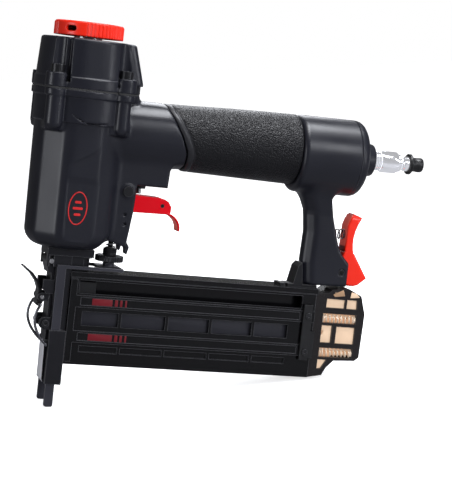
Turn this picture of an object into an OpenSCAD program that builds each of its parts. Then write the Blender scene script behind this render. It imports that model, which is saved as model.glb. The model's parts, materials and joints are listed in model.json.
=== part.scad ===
// Pneumatic brad nailer, in millimetres.
// Origin: driver axis at the tip of the contact foot.
// +Z runs up the driver axis, +X towards the handle and the air plug, Y across the tool.

/* [Head] */
// Outer radius of the head barrel at its top
barrel_r_top = 28.9; // [28.6:0.1:29.4]
// Outer radius of the head barrel above its rounded bottom
barrel_r_low = 28.6; // [28.2:0.1:29]
// Radius of the piston bore
bore_r = 19; // [18.9:0.05:19.1]
// Height of the underside of the casting
barrel_z0 = 103; // [102.8:0.1:103.2]
// Radius of the red exhaust deflector
deflector_r = 22; // [21:0.5:23]

/* [Handle] */
// Height of the handle axis
handle_z = 179.8; // [179.5:0.1:180.1]
// Grip radius at the front
grip_r_front = 21.3; // [20.5:0.1:22]
// Grip radius at the rear
grip_r_rear = 23.3; // [22.5:0.1:24]
// Rear drum radius
drum_r = 25.7; // [25:0.1:26]

/* [Air plug] */
// Radius of the plug's nipple
nipple_r = 3.9; // [3.7:0.05:4]
// Exposed length of the nipple once the dust cap is off
nipple_len = 8; // [6:0.5:8]

/* [Magazine] */
// Outer half width of the magazine
mag_hw = 12; // [11.8:0.1:12.2]
// Bottom of the magazine
mag_z0 = 28.4; // [27.5:0.1:29]
// Length of the sliding cover
mag_len = 168; // [160:1:169]

/* [Hidden] */
$fn = 64;
hair = 0.02; // tiny overlap or clearance

// colours used by several pieces
casting_black = [0.13, 0.13, 0.15];
gloss_black = [0.07, 0.07, 0.08];
red = [0.95, 0.16, 0.1];
steel = [0.7, 0.7, 0.72];
bright_metal = [0.8, 0.8, 0.82];

// head
casting_top = 203.8;
cap_z0 = casting_top + 1; // one gasket thickness higher
lobe_x = 16.9;            // axis of the rear lobe of collar, gasket and cap
head_screw_x = 22;
head_screw_y = 23;
round_z = 115;            // top of the barrel's rounded bottom
round_r = 12;
chamber_z0 = 108;         // floor of the piston chamber
chamber_r_low = 22.6;
chamber_r_top = 26;
sleeve_r = 21.5;
sleeve_flange_r = 22.4;
deflector_z0 = 237.5;
deflector_z1 = 245.4;

// handle
handle_r = 18;
drum_z = 177.8;
drum_bore_r = 22.5;
casting_x1 = 189;         // rear face of the casting
nipple_x0 = 229.9;

// axes along Z: X of each
valve_x = 43.5;
rod_x = 28.6;             // safety link and depth wheel

// axes along Y: [x, z] of each
trigger_axis = [33, 142.9];
yoke_axis = [59, 134.8];
lever_axis = [187.9, 100.8];
door_axis = [-11, 94];
latch_axis = [-14.2, 70];
lug_axis = [-11.2, 53.7];
bail_top = [-15.7, 65.7];
bail_foot = [-9.6, 39.9];

// radii shared by the small pins, screws and the pusher rod
pin_r = 1.5;
hole_r = 1.55;

// magazine
rail_x0 = 2.3;
cover_x0 = 2.6;
cap_x0 = 170.65;          // front face of the rear cap
rail_screw_y = 6;
rail_screw_z = 70;
bracket_x = 150;          // bracket screws into the rail
leg_screw_x = 165;        // bracket screws into the rear leg
leg_screw_y = 5;
cover_screw_x = 165.5;
cover_screw_z = [70.5, 46];
rod_z = 40.6;             // pusher rod
buffer_y = 8.5;
buffer_z = [69.2, 45.9];

// ---------------------------------------------------------------- helpers
// "pair" shapes run from y_in to y_out on the +Y side and mirrored on the -Y side.

// cylinders and cones along each axis; cyl_y takes at = [x, z]
module cyl_x(x0, x1, z, r, r2 = undef)
    translate([x0, 0, z]) rotate([0, 90, 0])
        cylinder(h = x1 - x0, r1 = r, r2 = is_undef(r2) ? r : r2);
module cyl_z(z0, z1, r, r2 = undef, x = 0)
    translate([x, 0, z0]) cylinder(h = z1 - z0, r1 = r, r2 = is_undef(r2) ? r : r2);
module cyl_y(at, r, y0, y1)
    translate([at[0], y1, at[1]]) rotate([90, 0, 0]) cylinder(h = y1 - y0, r = r);
module cyl_y_pair(at, r, y_in, y_out) {
    cyl_y(at, r, y_in, y_out);
    cyl_y(at, r, -y_out, -y_in);
}
// cylinder along Y, centred on the middle plane
module pin(at, r, half) cyl_y(at, r, -half, half);

module box(x0, x1, y0, y1, z0, z1)
    translate([x0, y0, z0]) cube([x1 - x0, y1 - y0, z1 - z0]);
module mid_box(x0, x1, half, z0, z1) box(x0, x1, -half, half, z0, z1);
module box_pair(x0, x1, y_in, y_out, z0, z1) {
    box(x0, x1, y_in, y_out, z0, z1);
    box(x0, x1, -y_out, -y_in, z0, z1);
}

// an outline of [x, z] points given thickness across Y
module slab(y0, y1) translate([0, y1, 0]) rotate([90, 0, 0]) linear_extrude(y1 - y0) children();
module plate(half) slab(-half, half) children();
module plate_pair(y_in, y_out) {
    slab(y_in, y_out) children();
    slab(-y_out, -y_in) children();
}

module both_sides(y) for (side = [-1, 1]) translate([0, side * y, 0]) children();
module around(step) for (angle = [0:step:359]) rotate([0, 0, angle]) children();

module torus(r, wire_r, sides)
    rotate_extrude() translate([r, 0]) circle(wire_r, $fn = sides);
// flat band 2.4 high, for seals and seal grooves
module band(r_out, r_in) difference() {
    cylinder(h = 2.4, r = r_out);
    translate([0, 0, -1]) cylinder(h = 5, r = r_in);
}

// plain spring: stacked rings joined by two thin rods
module spring_z(z0, z1, r, wire_r, rings, x = 0) {
    rise = z1 - z0 - 2 * wire_r;
    for (i = [0:rings - 1])
        translate([x, 0, z0 + wire_r + rise * i / (rings - 1)]) torus(r, wire_r, 16);
    for (side = [-1, 1])
        translate([x + side * r, 0, (z0 + z1) / 2])
            cylinder(h = rise, r = wire_r * 0.6, center = true);
}
module spring_x(x0, x1, z, r, wire_r, rings)
    translate([x0, 0, z]) rotate([0, 90, 0]) spring_z(0, x1 - x0, r, wire_r, rings);

module at_head_screws()
    for (x = [-head_screw_x, head_screw_x], y = [-head_screw_y, head_screw_y])
        translate([x, y, 0]) children();
module at_nose_screws()
    for (x = [-11, 13], y = [-7.9, 7.9]) translate([x, y, 0]) children();

// ---------------------------------------------------------------- casting
// outlines, [x, z]
leg_outline = [
    [155, 158], [155.4, 149.4], [158.6, 140.9], [160.4, 126.4], [159.8, 105.9], [161.6, 90.6],
    [195.5, 91.2], [197.9, 92], [199.6, 94.9], [200, 102], [198, 104.2], [192.6, 107],
    [186.9, 112.8], [183.6, 118.8], [180.6, 128], [177, 140], [174.5, 149.5], [176, 158]];
neck_outline = [
    [10, 150], [10, 199.4], [48, 199.9], [54, 198], [64, 180], [66, 164], [60, 158.6],
    [30, 156]];
valve_block_outline = [
    [12, 147], [59.6, 147], [59.6, 158], [61, 161.5], [66, 165], [60, 175], [12, 180]];
cheek_outline = [
    [12, 110.6], [23.3, 110.4], [34.8, 106.6], [35.4, 102.8], [36.6, 102], [38, 107],
    [35.9, 110], [38.2, 130], [38.8, 142], [38.8, 150], [12, 150]];
lever_slot_outline = [
    [180.6, 80], [180.6, 118], [179, 128], [172, 150], [210, 150], [210, 80]];
grip_outline = [ // slanted front edge
    [53.6, 204], [57.5, 193.3], [64, 181.4], [68.4, 170.6], [69.2, 155], [148, 150],
    [148, 206]];
grip_neck_outline = [
    [40, 200.2], [48, 200.1], [54.3, 198.2], [64.3, 180.1], [66.3, 163.8], [60, 150],
    [40, 150]];

module casting_solid() {
    // barrel with its rounded bottom
    cyl_z(round_z, casting_top, barrel_r_low, barrel_r_top);
    translate([0, 0, round_z]) torus(barrel_r_low - round_r, round_r, 64);
    cyl_z(barrel_z0, round_z + 1, barrel_r_low - round_r);
    // collar under the head cap, longer at the rear
    cyl_z(183, casting_top, 30.5);
    cyl_z(199.8, casting_top, 31.6);
    cyl_z(199.8, casting_top, 20, x = lobe_x);
    // bosses for the head screws
    at_head_screws() {
        cyl_z(186, casting_top, 6.6);
        cyl_z(178, 186 + hair, 3, 6.6);
    }
    plate(20) polygon(neck_outline);
    plate(14) polygon(valve_block_outline);
    // cheeks that carry the trigger and the safety link
    plate(14) polygon(cheek_outline);
    pin(trigger_axis, 4.5, 14.6);
    // handle tube, rear drum and rear leg
    cyl_x(38, 150, handle_z, handle_r);
    cyl_x(145.7, casting_x1, drum_z, drum_r);
    plate(9) polygon(leg_outline);
}
module casting_cuts() {
    // piston chamber and the hole in its floor
    cyl_z(chamber_z0, 150, chamber_r_low);
    cyl_z(149.9, 204, chamber_r_top);
    cyl_z(100, chamber_z0 + 0.1, 9);
    // air chamber in the handle and the drum
    cyl_x(20, casting_x1 + 0.1, handle_z, 14.5);
    cyl_x(150, casting_x1 + 0.1, drum_z, drum_bore_r);
    // valve pocket under the handle chamber
    cyl_z(146, 170, 7, x = valve_x);
    // slot between the cheeks
    mid_box(25.4, 40, 7, 116, 146.9);
    mid_box(24.9, 40, 7, 100, 111);
    // relief over the depth wheel, spring pocket and rod hole
    cyl_z(100, 106.5, 9.6, x = rod_x);
    cyl_z(100, 111.2, 4.9, x = rod_x);
    cyl_z(111, 115, 3.9, x = rod_x);
    cyl_z(105, 120, 1.7, x = rod_x);
    pin(trigger_axis, hole_r, 15);
    at_head_screws() cyl_z(187, 204, 2.55);
    // slot and pin hole for the release lever
    plate(6.5) polygon(lever_slot_outline);
    pin(lever_axis, 2.05, 10);
    at_nose_screws() cyl_z(100, 107, hole_r);
    both_sides(leg_screw_y) cyl_z(88, 100, hole_r, x = leg_screw_x);
}
module main_body() color(casting_black) difference() {
    casting_solid();
    casting_cuts();
}
module head_gasket() color("dimgray") difference() {
    z0 = casting_top + hair;
    z1 = cap_z0 - hair;
    union() {
        cyl_z(z0, z1, 31.4);
        cyl_z(z0, z1, 19.8, x = lobe_x);
        at_head_screws() cyl_z(z0, z1, 6.5);
    }
    cyl_z(203, 206, 26.2);
    at_head_screws() cyl_z(203, 206, 2.7);
}
module head_cap() color(casting_black) difference() {
    union() {
        // flange, rear lobe and screw bosses
        cyl_z(cap_z0, 211.5, 31.7);
        cyl_z(cap_z0, 211.5, 20, x = lobe_x);
        at_head_screws() cyl_z(cap_z0, 213.6, 7);
        // tapered dome and its rear bulge
        cyl_z(211.4, 236, 30.8, 29.4);
        cyl_z(211.4, 236, 20, 14.2, x = 14.5);
    }
    cyl_z(204, 228, 24);
    at_head_screws() {
        cyl_z(213.6, 240, 5.6);
        cyl_z(204, 240, 2.7);
    }
    // ring of six holes and the middle screw hole
    around(60) cyl_z(227, 237, 3.2, x = 13);
    cyl_z(227, 237, 2.55);
}
module head_screws() color(steel) at_head_screws() {
    seat_z = 213.65;
    head_top = seat_z + 5;
    difference() {
        union() {
            cyl_z(seat_z, head_top, 4.2);
            cyl_z(seat_z - 25, seat_z + hair, 2.5);
        }
        cyl_z(head_top - 2.4, head_top + 0.6, 4.2 * 0.55, $fn = 6);
    }
}
module cylinder_sleeve() color(steel) difference() {
    union() {
        cyl_z(chamber_z0 + hair, 198, sleeve_r);
        cyl_z(188, 194, sleeve_flange_r);
    }
    cyl_z(107, 199, bore_r);
    around(45) cyl_x(18, 24, 124, 1.5);
}
module sleeve_seal_rings() color("black") {
    translate([0, 0, 111]) band(chamber_r_low - 0.05, sleeve_r + 0.05);
    translate([0, 0, 191]) band(chamber_r_top - 0.1, sleeve_flange_r + 0.05);
}
module bumper() color("dimgray") difference() {
    cyl_z(chamber_z0 + hair, 115, bore_r - 0.1);
    cyl_z(107, 116, 5.5);
}

// ---------------------------------------------------------------- handle and air plug
module grip_sleeve() color([0.17, 0.17, 0.19]) difference() {
    intersection() {
        cyl_x(45, 145.65, handle_z, grip_r_front, grip_r_rear);
        plate(30) polygon(grip_outline);
    }
    cyl_x(40, 150, handle_z, handle_r + hair);
    // room for the neck
    plate(21) polygon(grip_neck_outline);
}
module end_cap() color(casting_black) difference() {
    union() {
        cyl_x(casting_x1 + hair, 193, drum_z, drum_r, drum_r - 0.7);
        cyl_x(193, 197, drum_z, drum_r - 0.7, 20);
        cyl_x(196.9, 203.5, drum_z, 11.5, 10.6);
        // spigot inside the drum
        cyl_x(180, casting_x1 + 0.1, drum_z, drum_bore_r - 0.05);
    }
    cyl_x(179, 187, drum_z, 19.5);
    cyl_x(180, 204, drum_z, 6.5);
    // O-ring groove
    translate([183.4, 0, drum_z]) rotate([0, 90, 0]) band(23, 20.9);
}
module end_cap_oring() color("black")
    translate([184.6, 0, drum_z]) rotate([0, 90, 0]) torus(21.68, 0.74, 24);
module air_plug() color(bright_metal) difference() {
    union() {
        cyl_x(196, 209.1, drum_z, 6.45);
        cyl_x(209, 222, drum_z, 7.2, $fn = 6);
        cyl_x(221.9, 226, drum_z, 6, 5);
        cyl_x(225.9, nipple_x0, drum_z, 5);
        cyl_x(nipple_x0 - 0.1, nipple_x0 + nipple_len, drum_z, nipple_r);
    }
    cyl_x(190, 245, drum_z, 2.4);
}
module dust_cap() color("black") difference() {
    union() {
        cyl_x(230, 232, drum_z, 7);
        cyl_x(231.9, 240.5, drum_z, 4.9, 4.6);
    }
    cyl_x(229, 238.4, drum_z, nipple_r + 0.03);
}

// ---------------------------------------------------------------- head internals
module exhaust_cap() color(red) difference() {
    union() {
        cyl_z(deflector_z0, deflector_z1, deflector_r);
        cyl_z(deflector_z1 - 0.1, 246.8, deflector_r, deflector_r - 1.5);
    }
    cyl_z(236, 243.6, deflector_r - 2.2);
    // screw hole and its counterbore
    cyl_z(236, 248, 3.05);
    cyl_z(244.8, 248, 6.6);
    // two exhaust holes on the smooth sector
    rotate([0, 0, -128]) both_sides(1.8) cyl_x(14, 26, 241.9, 1.9);
    // finger grooves
    for (angle = [-105:7.5:200])
        rotate([0, 0, angle]) cyl_z(237, 248, 0.7, x = deflector_r + 0.35, $fn = 16);
}
module exhaust_screw() color(steel) {
    difference() {
        cyl_z(244.85, 247, 5.6);
        cyl_z(245.6, 248.6, 2.5, $fn = 6);
    }
    cyl_z(228.5, 244.9, 2.5);
    // washer on the head cap
    cyl_z(236 + hair, 237.4, 9);
}
module head_valve() color([0.85, 0.85, 0.8]) difference() {
    union() {
        cyl_z(204.9, 216, 23.95);
        cyl_z(198.05, 205, 21);
        cyl_z(215.9, 219, 9);
    }
    cyl_z(197, 214, 7);
    cyl_z(197, 202, 17);
    cyl_z(213, 220, 5);
}
module head_valve_spring() color(steel) spring_z(216.02, 228 - hair, 19, 1, 4);
module piston() color(bright_metal) difference() {
    cyl_z(187.5, 197.5, bore_r - 0.06);
    cyl_z(193, 198, 14);
    // O-ring groove
    translate([0, 0, 190]) band(20, 17);
    // slot for the driver blade
    mid_box(-0.75, 0.75, 3.1, 187, 192);
}
module piston_oring() color("black") translate([0, 0, 191.2]) torus(17.95, 0.9, 24);
module driver_blade() color(steel) mid_box(-0.65, 0.65, 3, 87.6, 191.9);

// ---------------------------------------------------------------- trigger group
// outlines, [x, z]
trigger_outline = [
    [31, 129.2], [38, 129.2], [64, 129.6], [65.1, 131], [65.1, 134.5], [62.3, 138.2],
    [57, 140], [39, 140.5], [37, 143], [36, 145.8], [30, 145.8], [29.4, 142]];
trigger_channel_outline = [
    [28, 130.6], [61.5, 131], [63.6, 133], [63.6, 134.4], [61.4, 137.2], [56.5, 150],
    [28, 150]];
yoke_outline = [
    [34.5, 136.2], [34.5, 137.6], [42, 139.9], [56, 139.9], [61, 136.6], [61, 133],
    [57, 133], [56, 138.5], [42.4, 138.5]];
hook_axis = [62.2, 120.2];

module valve_bush() color("black") difference() {
    flange_z = 146.98;
    cyl_z(144.7, 165, 6.97, x = valve_x);
    cyl_z(144, 166, hole_r, x = valve_x);
    cyl_z(152, 166, 5, x = valve_x);
    // step the lower end down to a narrow stub
    difference() {
        cyl_z(144, flange_z, 9, x = valve_x);
        cyl_z(143, 148, 4.2, x = valve_x);
    }
}
module valve_stem() color(steel) {
    cyl_z(141.2, 157, 1.5, x = valve_x);
    cyl_z(152.05, 154, 4.5, x = valve_x);
}
module valve_spring() color(steel) spring_z(154.05, 165, 3.4, 0.5, 5, x = valve_x);
module trigger_pin() color("black") {
    pin(trigger_axis, pin_r, 15.2);
    cyl_y_pair(trigger_axis, 3.4, 14.62, 16);
}
module trigger() color([0.86, 0.06, 0.1]) difference() {
    union() {
        plate(6) polygon(trigger_outline);
        // finger hook
        intersection() {
            difference() {
                pin(hook_axis, 10.1, 6);
                pin(hook_axis, 8.7, 7);
            }
            mid_box(64, 75, 7, 118.6, 132);
        }
    }
    // channel, open at the top
    plate(4.6) polygon(trigger_channel_outline);
    pin(trigger_axis, hole_r, 8);
    pin(yoke_axis, 1.22, 8);
    mid_box(20, 37.4, 7, 125, 131.5);
}
module yoke_pin() color("black") pin(yoke_axis, 1.2, 6.1);
module trigger_yoke() color("black") difference() {
    plate(4.3) polygon(yoke_outline);
    pin(yoke_axis, 1.23, 8);
    plate(3) polygon([[56.2, 130], [56.2, 138.4], [63, 134], [63, 130]]);
}
module safety_link() color("black") {
    cyl_z(101.05, 104, 4.5, x = rod_x);
    cyl_z(103.9, 126, 1.63, x = rod_x);
    // arm to the rear with an upturned end
    mid_box(25.8, 36.6, 4.3, 123.9, 126);
    mid_box(35.2, 36.5, 4.3, 124.2, 129.8);
}
module safety_spring() color(steel) spring_z(104.05, 114.95, 2.9, 0.45, 5, x = rod_x);
module depth_wheel() color("black") translate([rod_x, 0, 0]) difference() {
    union() {
        cyl_z(95.5, 99.5, 9.2);
        cyl_z(99.4, 101, 4.5);
    }
    cyl_z(94, 102, 2.06);
    around(20) cyl_z(95, 100, 0.8, x = 9.6);
}

// ---------------------------------------------------------------- nose
// outlines, [x, z]
lug_outline = [[-7, 73], [-12.4, 73], [-15, 76], [-15, 82], [-7, 82]];
door_outline = [
    [-1.05, 15.2], [-8.6, 15.2], [-9.4, 17], [-9.8, 40], [-9.8, 88], [-11, 91.5],
    [-5, 91.5], [-1.05, 88]];
door_hinge_outline = [[-13.6, 92.4], [-11.8, 86], [-8, 86], [-8, 93], [-11, 94]];
latch_web_outline = [[-12.4, 70], [-16.8, 70], [-17.5, 65.7], [-13.9, 65.7]];
latch_tail_outline = [
    [-16.7, 70], [-13.6, 70], [-14.2, 75], [-16.6, 79.4], [-20.6, 84.2], [-27, 89],
    [-27.8, 87.9], [-21.8, 83.2], [-18.2, 78.8], [-16.4, 74.6]];

module contact_foot() color([0.18, 0.18, 0.2]) {
    y_in = 10.8;
    y_out = 12.6;
    tip_r = 1.4;
    arm_z0 = 90.2;
    arm_z1 = 92.2;
    // two legs with rounded tips and arms to the rear
    box_pair(-7.3, -1.5, y_in, y_out, tip_r, arm_z1);
    box_pair(-5.9, -2.9, y_in, y_out, 0, 1.5);
    for (x = [-5.9, -2.9]) cyl_y_pair([x, tip_r], tip_r, y_in, y_out);
    box_pair(-7.3, 36, y_in, y_out, arm_z0, arm_z1);
    // bridge and stud for the depth wheel
    mid_box(21.3, 36, y_out, arm_z0, arm_z1);
    cyl_z(92.1, 94.5, 3.8, x = rod_x);
    cyl_z(92, 99.5, 2, x = rod_x);
}
module nose_solid() {
    z0 = 15;
    flange_z0 = 98;
    lug_in = 8.2;
    lug_out = 10.5;
    // back block and side cheeks
    mid_box(-1, 2.2, 10.5, z0, flange_z0);
    box_pair(-7.7, 2.2, 8, 10.5, z0, flange_z0);
    // guides around the foot
    difference() {
        box_pair(-8.4, 2.2, 10.4, 14.2, z0, 50);
        box_pair(-7.5, -1.3, 10.5, 12.8, 10, 55);
    }
    // lugs
    plate_pair(lug_in, lug_out) polygon(lug_outline);
    cyl_y_pair(lug_axis, 4, lug_in, lug_out);
    box_pair(lug_axis[0], -7, lug_in, lug_out, lug_axis[1] - 4, lug_axis[1] + 4);
    // hinge ears
    box_pair(-14.2, -7, lug_in, lug_out, 90.6, 98.1);
    // catch for the wire
    box_pair(-10.5, -8, 10, 11.8, 41.2, 43.2);
    // upper block, mounting flange and spigot
    mid_box(2, 14.6, 9, 89, 98.1);
    mid_box(-14.2, 16, 11.5, flange_z0, 103 - hair);
    cyl_z(102.9, chamber_z0, 8.97);
}
module nose_body() color([0.16, 0.16, 0.18]) difference() {
    groove_half = 3.15;
    nose_solid();
    // driver passage and groove
    mid_box(-0.82, 0.82, groove_half, 90, 110);
    mid_box(-2, 0.82, groove_half, 10, 98.2);
    // nail entry
    mid_box(-2, 5, groove_half, 33, 86);
    pin(door_axis, hole_r, 12);
    cyl_y_pair(lug_axis, 1.5, 7, 11);
    at_nose_screws() {
        cyl_z(97, 104, hole_r);
        cyl_z(90, 99.4, 2.9);
    }
    // screws that hold the rail
    both_sides(rail_screw_y) cyl_x(-2, 5, rail_screw_z, hole_r);
}
module nose_screws() color(steel) {
    at_nose_screws() {
        cyl_z(97.4, 99.38, 2.6);
        cyl_z(99.3, 106, pin_r);
    }
    // side screws in the lugs
    cyl_y_pair(lug_axis, 1.45, 8.3, 10.6);
    difference() {
        cyl_y_pair(lug_axis, 2.4, 10.52, 11.8);
        cyl_y_pair(lug_axis, 1.2, 11, 12.6, $fn = 6);
    }
}
module front_door() color([0.6, 0.6, 0.63]) difference() {
    half = 7.8;
    union() {
        plate(half) polygon(door_outline);
        pin(door_axis, 3.2, half);
        plate(half) polygon(door_hinge_outline);
        // ears for the latch
        cyl_y_pair(latch_axis, 2.8, 5.3, 7.6);
        box_pair(latch_axis[0], -9, 5.3, 7.6, 67.9, 72.8);
    }
    pin(door_axis, hole_r, 9);
    pin(latch_axis, 1.25, 9);
}
module door_pin() color(steel) pin(door_axis, pin_r, 10.9);
module latch_lever() color("black") difference() {
    half = 5;
    union() {
        pin(latch_axis, 2.6, half);
        pin(bail_top, 1.9, half);
        plate(half) polygon(latch_web_outline);
        plate(half) polygon(latch_tail_outline);
    }
    pin(latch_axis, 1.25, 6);
    pin(bail_top, 0.95, 6);
}
module latch_pin() color(steel) pin(latch_axis, 1.2, 7.9);

// side wires follow a quadratic curve from bail_top to bail_foot, in straight segments
bail_control = [-23.4, 53.6];
bail_segments = 5;
function bail_point(t) =
    (1 - t) * (1 - t) * bail_top + 2 * t * (1 - t) * bail_control + t * t * bail_foot;
module bail_segment(start, end) {
    run = end - start;
    translate([start[0], 0, start[1]]) rotate([0, atan2(run[0], run[1]), 0])
        translate([0, 0, -0.25]) cylinder(h = norm(run) + 0.5, r = 0.88);
}
module wire_bail() color([0.75, 0.75, 0.77]) {
    wire_y = 12.9;
    pin(bail_top, 0.9, wire_y);
    both_sides(wire_y)
        for (i = [0:bail_segments - 1])
            bail_segment(bail_point(i / bail_segments), bail_point((i + 1) / bail_segments));
    cyl_y_pair(bail_foot, 0.9, 10.7, 13.5);
    cyl_y_pair(bail_top, 0.95, 12, 13.7);
}

// ---------------------------------------------------------------- magazine
// outline, [x, z]
bracket_outline = [
    [146, 88.62], [172, 88.62], [172, 90.55], [161.5, 90.55], [159.72, 105.2],
    [157.2, 102.4], [154.8, 90.6], [146, 90.6]];
// windows in the cover sides, [x start, x end]
upper_windows = [[12, 36], [38.2, 67.6], [69.8, 97.6], [99.6, 127.2], [129.2, 152.6]];
lower_windows = [[12, 37.2], [39.2, 67.2], [69.2, 98], [100, 127.6], [129.6, 152.6]];
rib_z = [66, 43]; // undersides of the cover ribs

module magazine_rail() color(gloss_black) difference() {
    union() {
        mid_box(rail_x0, 172, mag_hw, 85.2, 88.6);
        mid_box(rail_x0, 168, 2, 48, 85.3);
        // front foot bolted to the nose
        mid_box(2.25, 4.6, 8.6, 60, 85.3);
    }
    mid_box(2, 5, 3.15, 47, 84);
    both_sides(rail_screw_y) {
        cyl_x(1, 6, rail_screw_z, hole_r);
        cyl_z(84, 90, hole_r, x = bracket_x);
    }
}
module rail_screws() color(steel) both_sides(rail_screw_y) {
    cyl_x(-0.9, 4.7, rail_screw_z, pin_r);
    cyl_x(4.62, 6.2, rail_screw_z, 2.6);
}
module gusset_bracket() color("black") difference() {
    plate(7) polygon(bracket_outline);
    both_sides(rail_screw_y) cyl_z(84, 92, hole_r, x = bracket_x);
    both_sides(leg_screw_y) cyl_z(88, 92, hole_r, x = leg_screw_x);
}
module cover_solid() {
    cover_x1 = cover_x0 + mag_len;
    // trough, open at the top and both ends
    difference() {
        mid_box(cover_x0, cover_x1, mag_hw, mag_z0, 85);
        mid_box(2, 200, 9.2, 33.5, 86);
    }
    for (z = rib_z) box_pair(cover_x0, cover_x1, 11.9, 13, z, z + 7.6);
    // front strip on the -Y side
    box(cover_x0, 7, -13, -11.9, mag_z0 + 2, 84);
}
module magazine_cover() color(gloss_black) difference() {
    cover_solid();
    // long top slot and row of windows, cut through the sides
    box_pair(8.4, 161, 9, 14, 75, 83.4);
    for (span = upper_windows) box_pair(span[0], span[1], 9, 14, 54.2, 63.3);
    // row of shallow recesses and the hollows in the ribs
    for (span = lower_windows) box_pair(span[0], span[1], 10.4, 14, 36.8, 40.8);
    for (z = rib_z) box_pair(10, 160, 12.6, 14, z + 1.4, z + 6.4);
    // screw holes in the rear end and in the -Y side
    both_sides(10.7) for (z = [50, 80]) cyl_x(162, 175, z, 0.85);
    for (z = cover_screw_z) cyl_y([cover_screw_x, z], 1.02, -14, -9);
}
module side_block() color("black") difference() {
    union() {
        box(162, 168, -15, -13 - hair, 40.4, 77.9);
        box(168, 171.5, -14.4, -13 - hair, 42, 60);
    }
    for (z = cover_screw_z) cyl_y([cover_screw_x, z], 1.05, -16, -12);
}
module cover_screws() color(steel) for (z = cover_screw_z) {
    axis = [cover_screw_x, z];
    cyl_y(axis, 1, -15.1, -9.4);
    difference() {
        cyl_y(axis, 2, -16, -15 - hair);
        cyl_y(axis, 1, -16.5, -15.5, $fn = 6);
    }
}

// rear cap outlines, [x, z]
cap_outline = [
    [cap_x0, 84.9], [172.4, 84.9], [172.6, 85.6], [179.6, 86.8], [182, 88.8], [194, 90.2],
    [203.3, 85.9], [207.1, 73.5], [206.4, 43.8], [203.4, 41.3], [188.3, 40.7],
    [183.4, 35.7], [180.7, 30.4], [cap_x0, 28.6]];
cap_cavity = [
    [176, 83], [181, 84.6], [183, 86.6], [193, 87.8], [200.5, 84.2], [204.2, 72.8],
    [203.6, 45.8], [201.6, 44.2], [187, 43.4], [181.4, 38], [179, 33.6], [176, 33.4]];
cap_windows = [
    [[178.7, 76.6], [191.9, 76.6], [191.9, 82.5], [178.7, 82.8]],
    [[193.4, 76.5], [201.1, 76.5], [200.6, 82.7], [193.4, 82.8]],
    [[177.1, 52.7], [184.7, 52.7], [184.7, 64.6], [177.1, 64.6]],
    [[187.8, 52.5], [201.3, 52.5], [201.3, 64.1], [187.8, 64.1]],
    [[177.1, 66.4], [201.2, 66.4], [201.2, 72.6], [177.1, 72.6]],
    [[177.1, 43], [201.2, 43], [201.2, 49.2], [177.1, 49.2]],
    [[184, 85.4], [191, 87.4], [184, 87.6]],
    [[176.8, 34.6], [179.7, 35], [183.4, 41.1], [176.8, 41.2]]];

module rear_cap_frame() color([0.12, 0.11, 0.11]) difference() {
    plate(11.6) polygon(cap_outline);
    plate(8.6) polygon(cap_cavity);
    plate_pair(5.6, 13) for (window = cap_windows) polygon(window);
    cyl_x(160, 179, rod_z, hole_r);
}
module rear_cap_clear() color([0.85, 0.62, 0.4, 0.5]) difference() {
    plate(8.5) offset(delta = -0.1) polygon(cap_cavity);
    plate(6.2) offset(delta = -2) polygon(cap_cavity);
    // channels for the buffer springs
    both_sides(buffer_y) for (z = buffer_z) cyl_x(177, 202.5, z, 2.95);
    cyl_x(160, 182, rod_z, 3.2);
}
module buffer_springs() color([0.85, 0.8, 0.7])
    both_sides(buffer_y) for (z = buffer_z) spring_x(177.6, 200.6, z, 2.2, 0.42, 11);
module nail_pusher() color("black") difference() {
    mid_box(6.8, 20, 8.6, 37, 82);
    // slot over the rail
    mid_box(5, 21, 2.2, 47, 83);
    cyl_x(5, 21, rod_z, hole_r);
}
module pusher_rod() color(steel) {
    cyl_x(4, 178.8, rod_z, pin_r);
    cyl_x(3, 4.5, rod_z, 3);
}
module pusher_spring() color(steel) spring_x(20.05, 170.6, rod_z, 2.6, 0.4, 24);

// ---------------------------------------------------------------- release lever
// outline, [x, z]
lever_outline = [
    [192.2, 142.2], [200.2, 138.4], [197.3, 131.8], [195.5, 126.2], [195.9, 119.9],
    [196.6, 114.1], [202.3, 105.8], [208.6, 97.2], [202.8, 92.8], [199.4, 91.6],
    [194, 91.6], [190.4, 95.6], [187.9, 97.3], [185, 98.2], [184.2, 100.8], [185, 103.6],
    [187, 108], [187.4, 115.4], [185.4, 119.9], [190.1, 129.3], [186.3, 132.1]];

module release_lever() color(red) difference() {
    plate(6.2) polygon(lever_outline);
    pin(lever_axis, 2.05, 9);
    // pocket for the spring
    mid_box(182, 189.4, 4.6, 121.6, 130.4);
}
module lever_pin() color("black") pin(lever_axis, 2, 9);
module lever_spring() color(steel) spring_x(180.9, 189.3, 126, 3.2, 0.45, 5);

main_body();
head_cap();
head_gasket();
head_screws();
cylinder_sleeve();
sleeve_seal_rings();
bumper();
grip_sleeve();
end_cap();
end_cap_oring();
air_plug();
dust_cap();
valve_bush();
valve_stem();
valve_spring();
exhaust_cap();
exhaust_screw();
head_valve();
head_valve_spring();
piston();
piston_oring();
driver_blade();
trigger();
trigger_pin();
trigger_yoke();
yoke_pin();
safety_link();
safety_spring();
depth_wheel();
contact_foot();
nose_body();
nose_screws();
front_door();
door_pin();
latch_lever();
latch_pin();
wire_bail();
magazine_rail();
rail_screws();
gusset_bracket();
magazine_cover();
side_block();
cover_screws();
rear_cap_frame();
rear_cap_clear();
buffer_springs();
nail_pusher();
pusher_rod();
pusher_spring();
release_lever();
lever_pin();
lever_spring();
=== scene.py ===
"""A compressed-air nailer standing on its nose and the rear foot of its magazine.

The barrel stands on the Z axis. -X is the front, +X runs along the handle and the magazine
to the rear, and Y is the width, with the camera on the -Y side. Shapes are worked out in
millimetres and turned into metres when they become meshes.
"""
import bpy
import bmesh
import json
import math
import numpy as np
from mathutils import Matrix, Vector


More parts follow.
